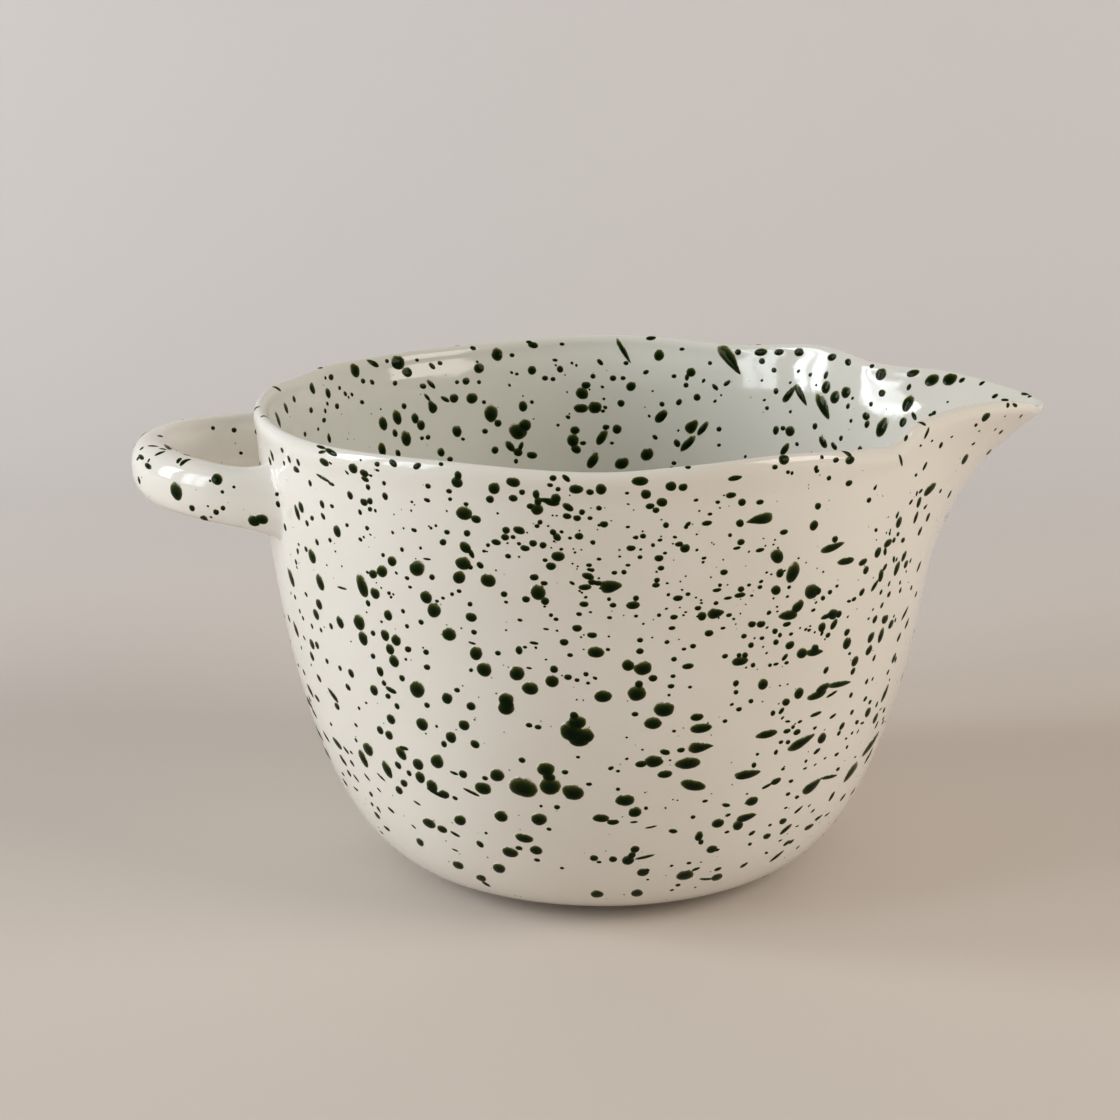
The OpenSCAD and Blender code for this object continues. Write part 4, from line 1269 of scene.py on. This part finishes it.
def add_window(name, place, size, power, colour, panes=1, bar=0.04):
    """A soft window at a place, facing the bowl, with dark bars between its panes."""
    turn = (look_at - Vector(place)).to_track_quat("-Z", "Y")
    pane = (size[0] - bar * (panes - 1)) / panes
    for n in range(panes):
        light = bpy.data.lights.new(name, "AREA")
        light.shape = "RECTANGLE"
        light.size, light.size_y = pane, size[1]
        light.energy = power / panes
        light.color = colour
        lamp = bpy.data.objects.new(name, light)
        across = (n - (panes - 1) / 2) * (pane + bar)
        lamp.location = Vector(place) + turn @ Vector((across, 0, 0))
        lamp.rotation_euler = turn.to_euler()
        bpy.context.scene.collection.objects.link(lamp)
    print(name, "at", place, "with panes:", panes)


add_window("window_near", (-1.28, -0.62, 0.55), (0.42, 0.9), 7.6, (0.88, 0.95, 1), panes=2)
add_window("window_far", (-1.36, -0.05, 0.55), (0.3, 0.9), 9.6, (0.88, 0.95, 1), panes=2)
add_window("fill_right", (1.3, -0.5, 0.8), (0.9, 0.9), 13, (1, 0.95, 0.88))
world = bpy.data.worlds.new("room")
world.use_nodes = True
world.node_tree.nodes["Background"].inputs["Color"].default_value = (1, 0.91, 0.81, 1)
world.node_tree.nodes["Background"].inputs["Strength"].default_value = 0.31
bpy.context.scene.world = world
bpy.context.scene.view_settings.view_transform = "Standard"

# %% [markdown]
# ## Finishes
#
# A material is a small network of nodes. These helpers add a node, set its sockets by
# name and join it up, so that each finish below reads like a list of its layers.

# %% Node helpers
def add_node(tree, kind, values=None, **settings):
    """Adds a node, sets its settings, and sets or links its inputs."""
    node = tree.nodes.new(kind)
    for key, setting in settings.items():
        setattr(node, key, setting)
    for key, value in (values or {}).items():
        if isinstance(value, bpy.types.NodeSocket):
            tree.links.new(value, node.inputs[key])
        else:
            node.inputs[key].default_value = value
    return node


def ramp(tree, value, stops):
    """A colour ramp through stops of a place and a colour."""
    node = add_node(tree, "ShaderNodeValToRGB", {"Fac": value})
    for _ in range(len(stops) - 2):
        node.color_ramp.elements.new(0.5)
    for element, (position, colour) in zip(node.color_ramp.elements, stops):
        element.position = position
        element.color = (*colour, 1)
    return node.outputs["Color"]


def blend(tree, share, first, second, mode="MIX"):
    """Two colours mixed by a share."""
    node = add_node(tree, "ShaderNodeMix", {0: share, 6: first, 7: second},
                    data_type="RGBA", blend_type=mode)
    return node.outputs[2]


def shares(tree, value, low, high, to_low=0, to_high=1):
    """A value stretched from one range to another and kept inside it."""
    node = add_node(tree, "ShaderNodeMapRange",
                    {"Value": value, "From Min": low, "From Max": high, "To Min": to_low,
                     "To Max": to_high})
    return node.outputs["Result"]


def new_group(name, inputs, outputs):
    """An empty node group with named sockets, with its input and output nodes."""
    tree = bpy.data.node_groups.new(name, "ShaderNodeTree")
    for socket, kind in inputs:
        tree.interface.new_socket(socket, in_out="INPUT", socket_type="NodeSocket" + kind)
    for socket, kind in outputs:
        tree.interface.new_socket(socket, in_out="OUTPUT", socket_type="NodeSocket" + kind)
    return tree, tree.nodes.new("NodeGroupInput"), tree.nodes.new("NodeGroupOutput")


def new_material(name):
    """A material with its tree, its surface shader and the place on the object."""
    material = bpy.data.materials.new(name)
    material.use_nodes = True
    tree = material.node_tree
    place = add_node(tree, "ShaderNodeTexCoord").outputs["Object"]
    return material, tree, tree.nodes["Principled BSDF"], place


print("Node helpers are ready")

# %% [markdown]
# ### The white glaze's look, with painted shade inside
#
# Both glazes need the white one's colour, because a green drop fades into it at its edge.
# So the colour lives in a group that both share. The white is warm where it lies thick
# and flows in slow clouds. Inside the bowl it is painted cooler and greyer as painted
# shade, less so on the side of the spout, where painted light stands in for the windows.
# It also carries a mist of green specks that are too fine to be domes.

# %% White glaze group
white, white_in, white_out = new_group(
    "white_glaze_look", [("Place", "Vector"), ("Inside", "Float")],
    [("Colour", "Color"), ("Gloss", "Float"), ("Ripple", "Float")])
place, inside = white_in.outputs["Place"], white_in.outputs["Inside"]
flow = add_node(white, "ShaderNodeTexNoise", {"Vector": place, "Scale": 22.0, "Detail": 3.0})
warm = ramp(white, flow.outputs["Fac"], [(0.3, (0.775, 0.735, 0.665)),
                                         (0.55, (0.80, 0.765, 0.70)),
                                         (0.75, (0.82, 0.79, 0.73))])
# Painted shade: the cooler, greyer white of the inner face stands in for the shade inside the bowl.
painted_shade_cool = ramp(white, flow.outputs["Fac"], [(0.3, (0.61, 0.615, 0.555)),
                                         (0.55, (0.64, 0.64, 0.58)),
                                         (0.75, (0.67, 0.67, 0.61))])
mist = add_node(white, "ShaderNodeTexVoronoi", {"Vector": place, "Scale": 260.0})
rare = shares(white, add_node(white, "ShaderNodeSeparateColor", {
    "Color": mist.outputs["Color"]}).outputs[0], 0.84, 0.85)
dot = shares(white, mist.outputs["Distance"], 0.04, 0.1, 1, 0)
speck = add_node(white, "ShaderNodeMath", {0: dot, 1: rare}, operation="MULTIPLY").outputs[0]
faint = add_node(white, "ShaderNodeMath", {0: speck, 1: 0.7}, operation="MULTIPLY").outputs[0]
# Painted shade: where the inside share is high, the warm white gives way to the cooler, greyer one.
white.links.new(blend(white, faint, blend(white, inside, warm, painted_shade_cool), (0.16, 0.14, 0.08, 1)),
                white_out.inputs["Colour"])
smears = add_node(white, "ShaderNodeTexNoise", {"Vector": place, "Scale": 60.0, "Detail": 4.0})
white.links.new(shares(white, smears.outputs["Fac"], 0.3, 0.75, 0.07, 0.15), white_out.inputs["Gloss"])
ripple = add_node(white, "ShaderNodeTexNoise", {"Vector": place, "Scale": 130.0, "Detail": 2.0})
white.links.new(ripple.outputs["Fac"], white_out.inputs["Ripple"])
print("White glaze group has", len(white.nodes), "nodes")

# %% [markdown]
# ### White glaze
#
# The glaze itself is a plain glossy coat. A very fine ripple, like the skin of an
# orange, breaks up the edges of the reflections as a real kiln-fired glaze does.

# %% White glaze
glaze, tree, shader, place = new_material("cream_glaze")
# The inside attribute brings in the painted inner shade of the white.
inside = add_node(tree, "ShaderNodeAttribute", attribute_name="inside").outputs["Fac"]
look = add_node(tree, "ShaderNodeGroup", node_tree=white)
tree.links.new(place, look.inputs["Place"])
tree.links.new(inside, look.inputs["Inside"])
tree.links.new(look.outputs["Colour"], shader.inputs["Base Color"])
tree.links.new(look.outputs["Gloss"], shader.inputs["Roughness"])
bump = add_node(tree, "ShaderNodeBump", {"Height": look.outputs["Ripple"], "Strength": 0.25,
                                         "Distance": 0.0004})
tree.links.new(bump.outputs["Normal"], shader.inputs["Normal"])
for piece in glazed.values():
    piece.data.materials.append(glaze)
print("White glaze on", len(glazed), "pieces")

# %% [markdown]
# ### Green glaze
#
# Copper green glaze is almost black where it lies thick, bottle green where it is
# thinner, and olive brown where it melts into the white. The thickness that each dome
# remembers picks the colour. The glaze runs down while it is molten, so the lower part of
# each drop counts as thicker.

# %% Green glaze
green, tree, shader, place = new_material("green_glaze")
thick, low, inside = [add_node(tree, "ShaderNodeAttribute", attribute_name=name).outputs["Fac"]
                      for name in ("thick", "low", "inside")]
# The melted edge takes the white's colour, with its painted inner shade.
look = add_node(tree, "ShaderNodeGroup", node_tree=white)
tree.links.new(place, look.inputs["Place"])
tree.links.new(inside, look.inputs["Inside"])
run = shares(tree, low, -0.9, 0.45, 0.3, 1.2)
depth = add_node(tree, "ShaderNodeMath", {0: thick, 1: run}, operation="MULTIPLY").outputs[0]
mottle = add_node(tree, "ShaderNodeTexNoise", {"Vector": place, "Scale": 900.0, "Detail": 2.0})
wander = shares(tree, mottle.outputs["Fac"], 0.3, 0.7, -0.06, 0.06)
depth = add_node(tree, "ShaderNodeMath", {0: depth, 1: wander}, operation="ADD").outputs[0]
colour = ramp(tree, depth, [(0.0, (0.28, 0.27, 0.16)), (0.12, (0.10, 0.11, 0.035)),
                            (0.3, (0.026, 0.032, 0.004)), (0.6, (0.006, 0.015, 0.001)),
                            (0.95, (0.001, 0.007, 0.0005))])
melt = shares(tree, depth, 0.0, 0.1)
tree.links.new(blend(tree, melt, look.outputs["Colour"], colour), shader.inputs["Base Color"])
shader.inputs["Roughness"].default_value = 0.09
shader.inputs["Specular IOR Level"].default_value = 0.07
for piece in splatter:
    piece.data.materials.append(green)
print("Green glaze on", len(splatter), "pieces")

# %% [markdown]
# ### Bare clay
#
# The foot is the only place that shows the clay: a dry buff stoneware with darker grit,
# toasted where the glaze ends just above it, and with the fine rings that the trimming
# tool left.

# %% Bare clay
clay, tree, shader, place = new_material("bare_clay")
patches = add_node(tree, "ShaderNodeTexNoise", {"Vector": place, "Scale": 45.0, "Detail": 4.0})
buff = ramp(tree, patches.outputs["Fac"], [(0.3, (0.46, 0.36, 0.26)), (0.5, (0.56, 0.46, 0.35)),
                                           (0.72, (0.63, 0.54, 0.43))])
axis = add_node(tree, "ShaderNodeSeparateXYZ", {"Vector": place})
toast = shares(tree, axis.outputs["Z"], 0.0017, 0.003)
toasted = blend(tree, toast, buff, (0.40, 0.24, 0.13, 1))
grit = add_node(tree, "ShaderNodeTexVoronoi", {"Vector": place, "Scale": 900.0})
grain = shares(tree, grit.outputs["Distance"], 0.12, 0.3, 0.75, 0)
dark_share = add_node(tree, "ShaderNodeMath", {0: grain, 1: patches.outputs["Fac"]},
                      operation="MULTIPLY").outputs[0]
tree.links.new(blend(tree, dark_share, toasted, (0.2, 0.13, 0.08, 1)), shader.inputs["Base Color"])
shader.inputs["Roughness"].default_value = 0.92
rings = add_node(tree, "ShaderNodeTexWave", {"Vector": place, "Scale": 260.0, "Distortion": 1.5},
                 wave_type="RINGS", rings_direction="Z")
trimmed = add_node(tree, "ShaderNodeBump", {"Height": rings.outputs["Fac"], "Strength": 0.5,
                                            "Distance": 0.0002})
rough = add_node(tree, "ShaderNodeBump", {"Height": grit.outputs["Distance"], "Strength": 0.5,
                                          "Distance": 0.0002, "Normal": trimmed.outputs["Normal"]})
tree.links.new(rough.outputs["Normal"], shader.inputs["Normal"])
foot.data.materials.append(clay)
print("Bare clay on the foot")
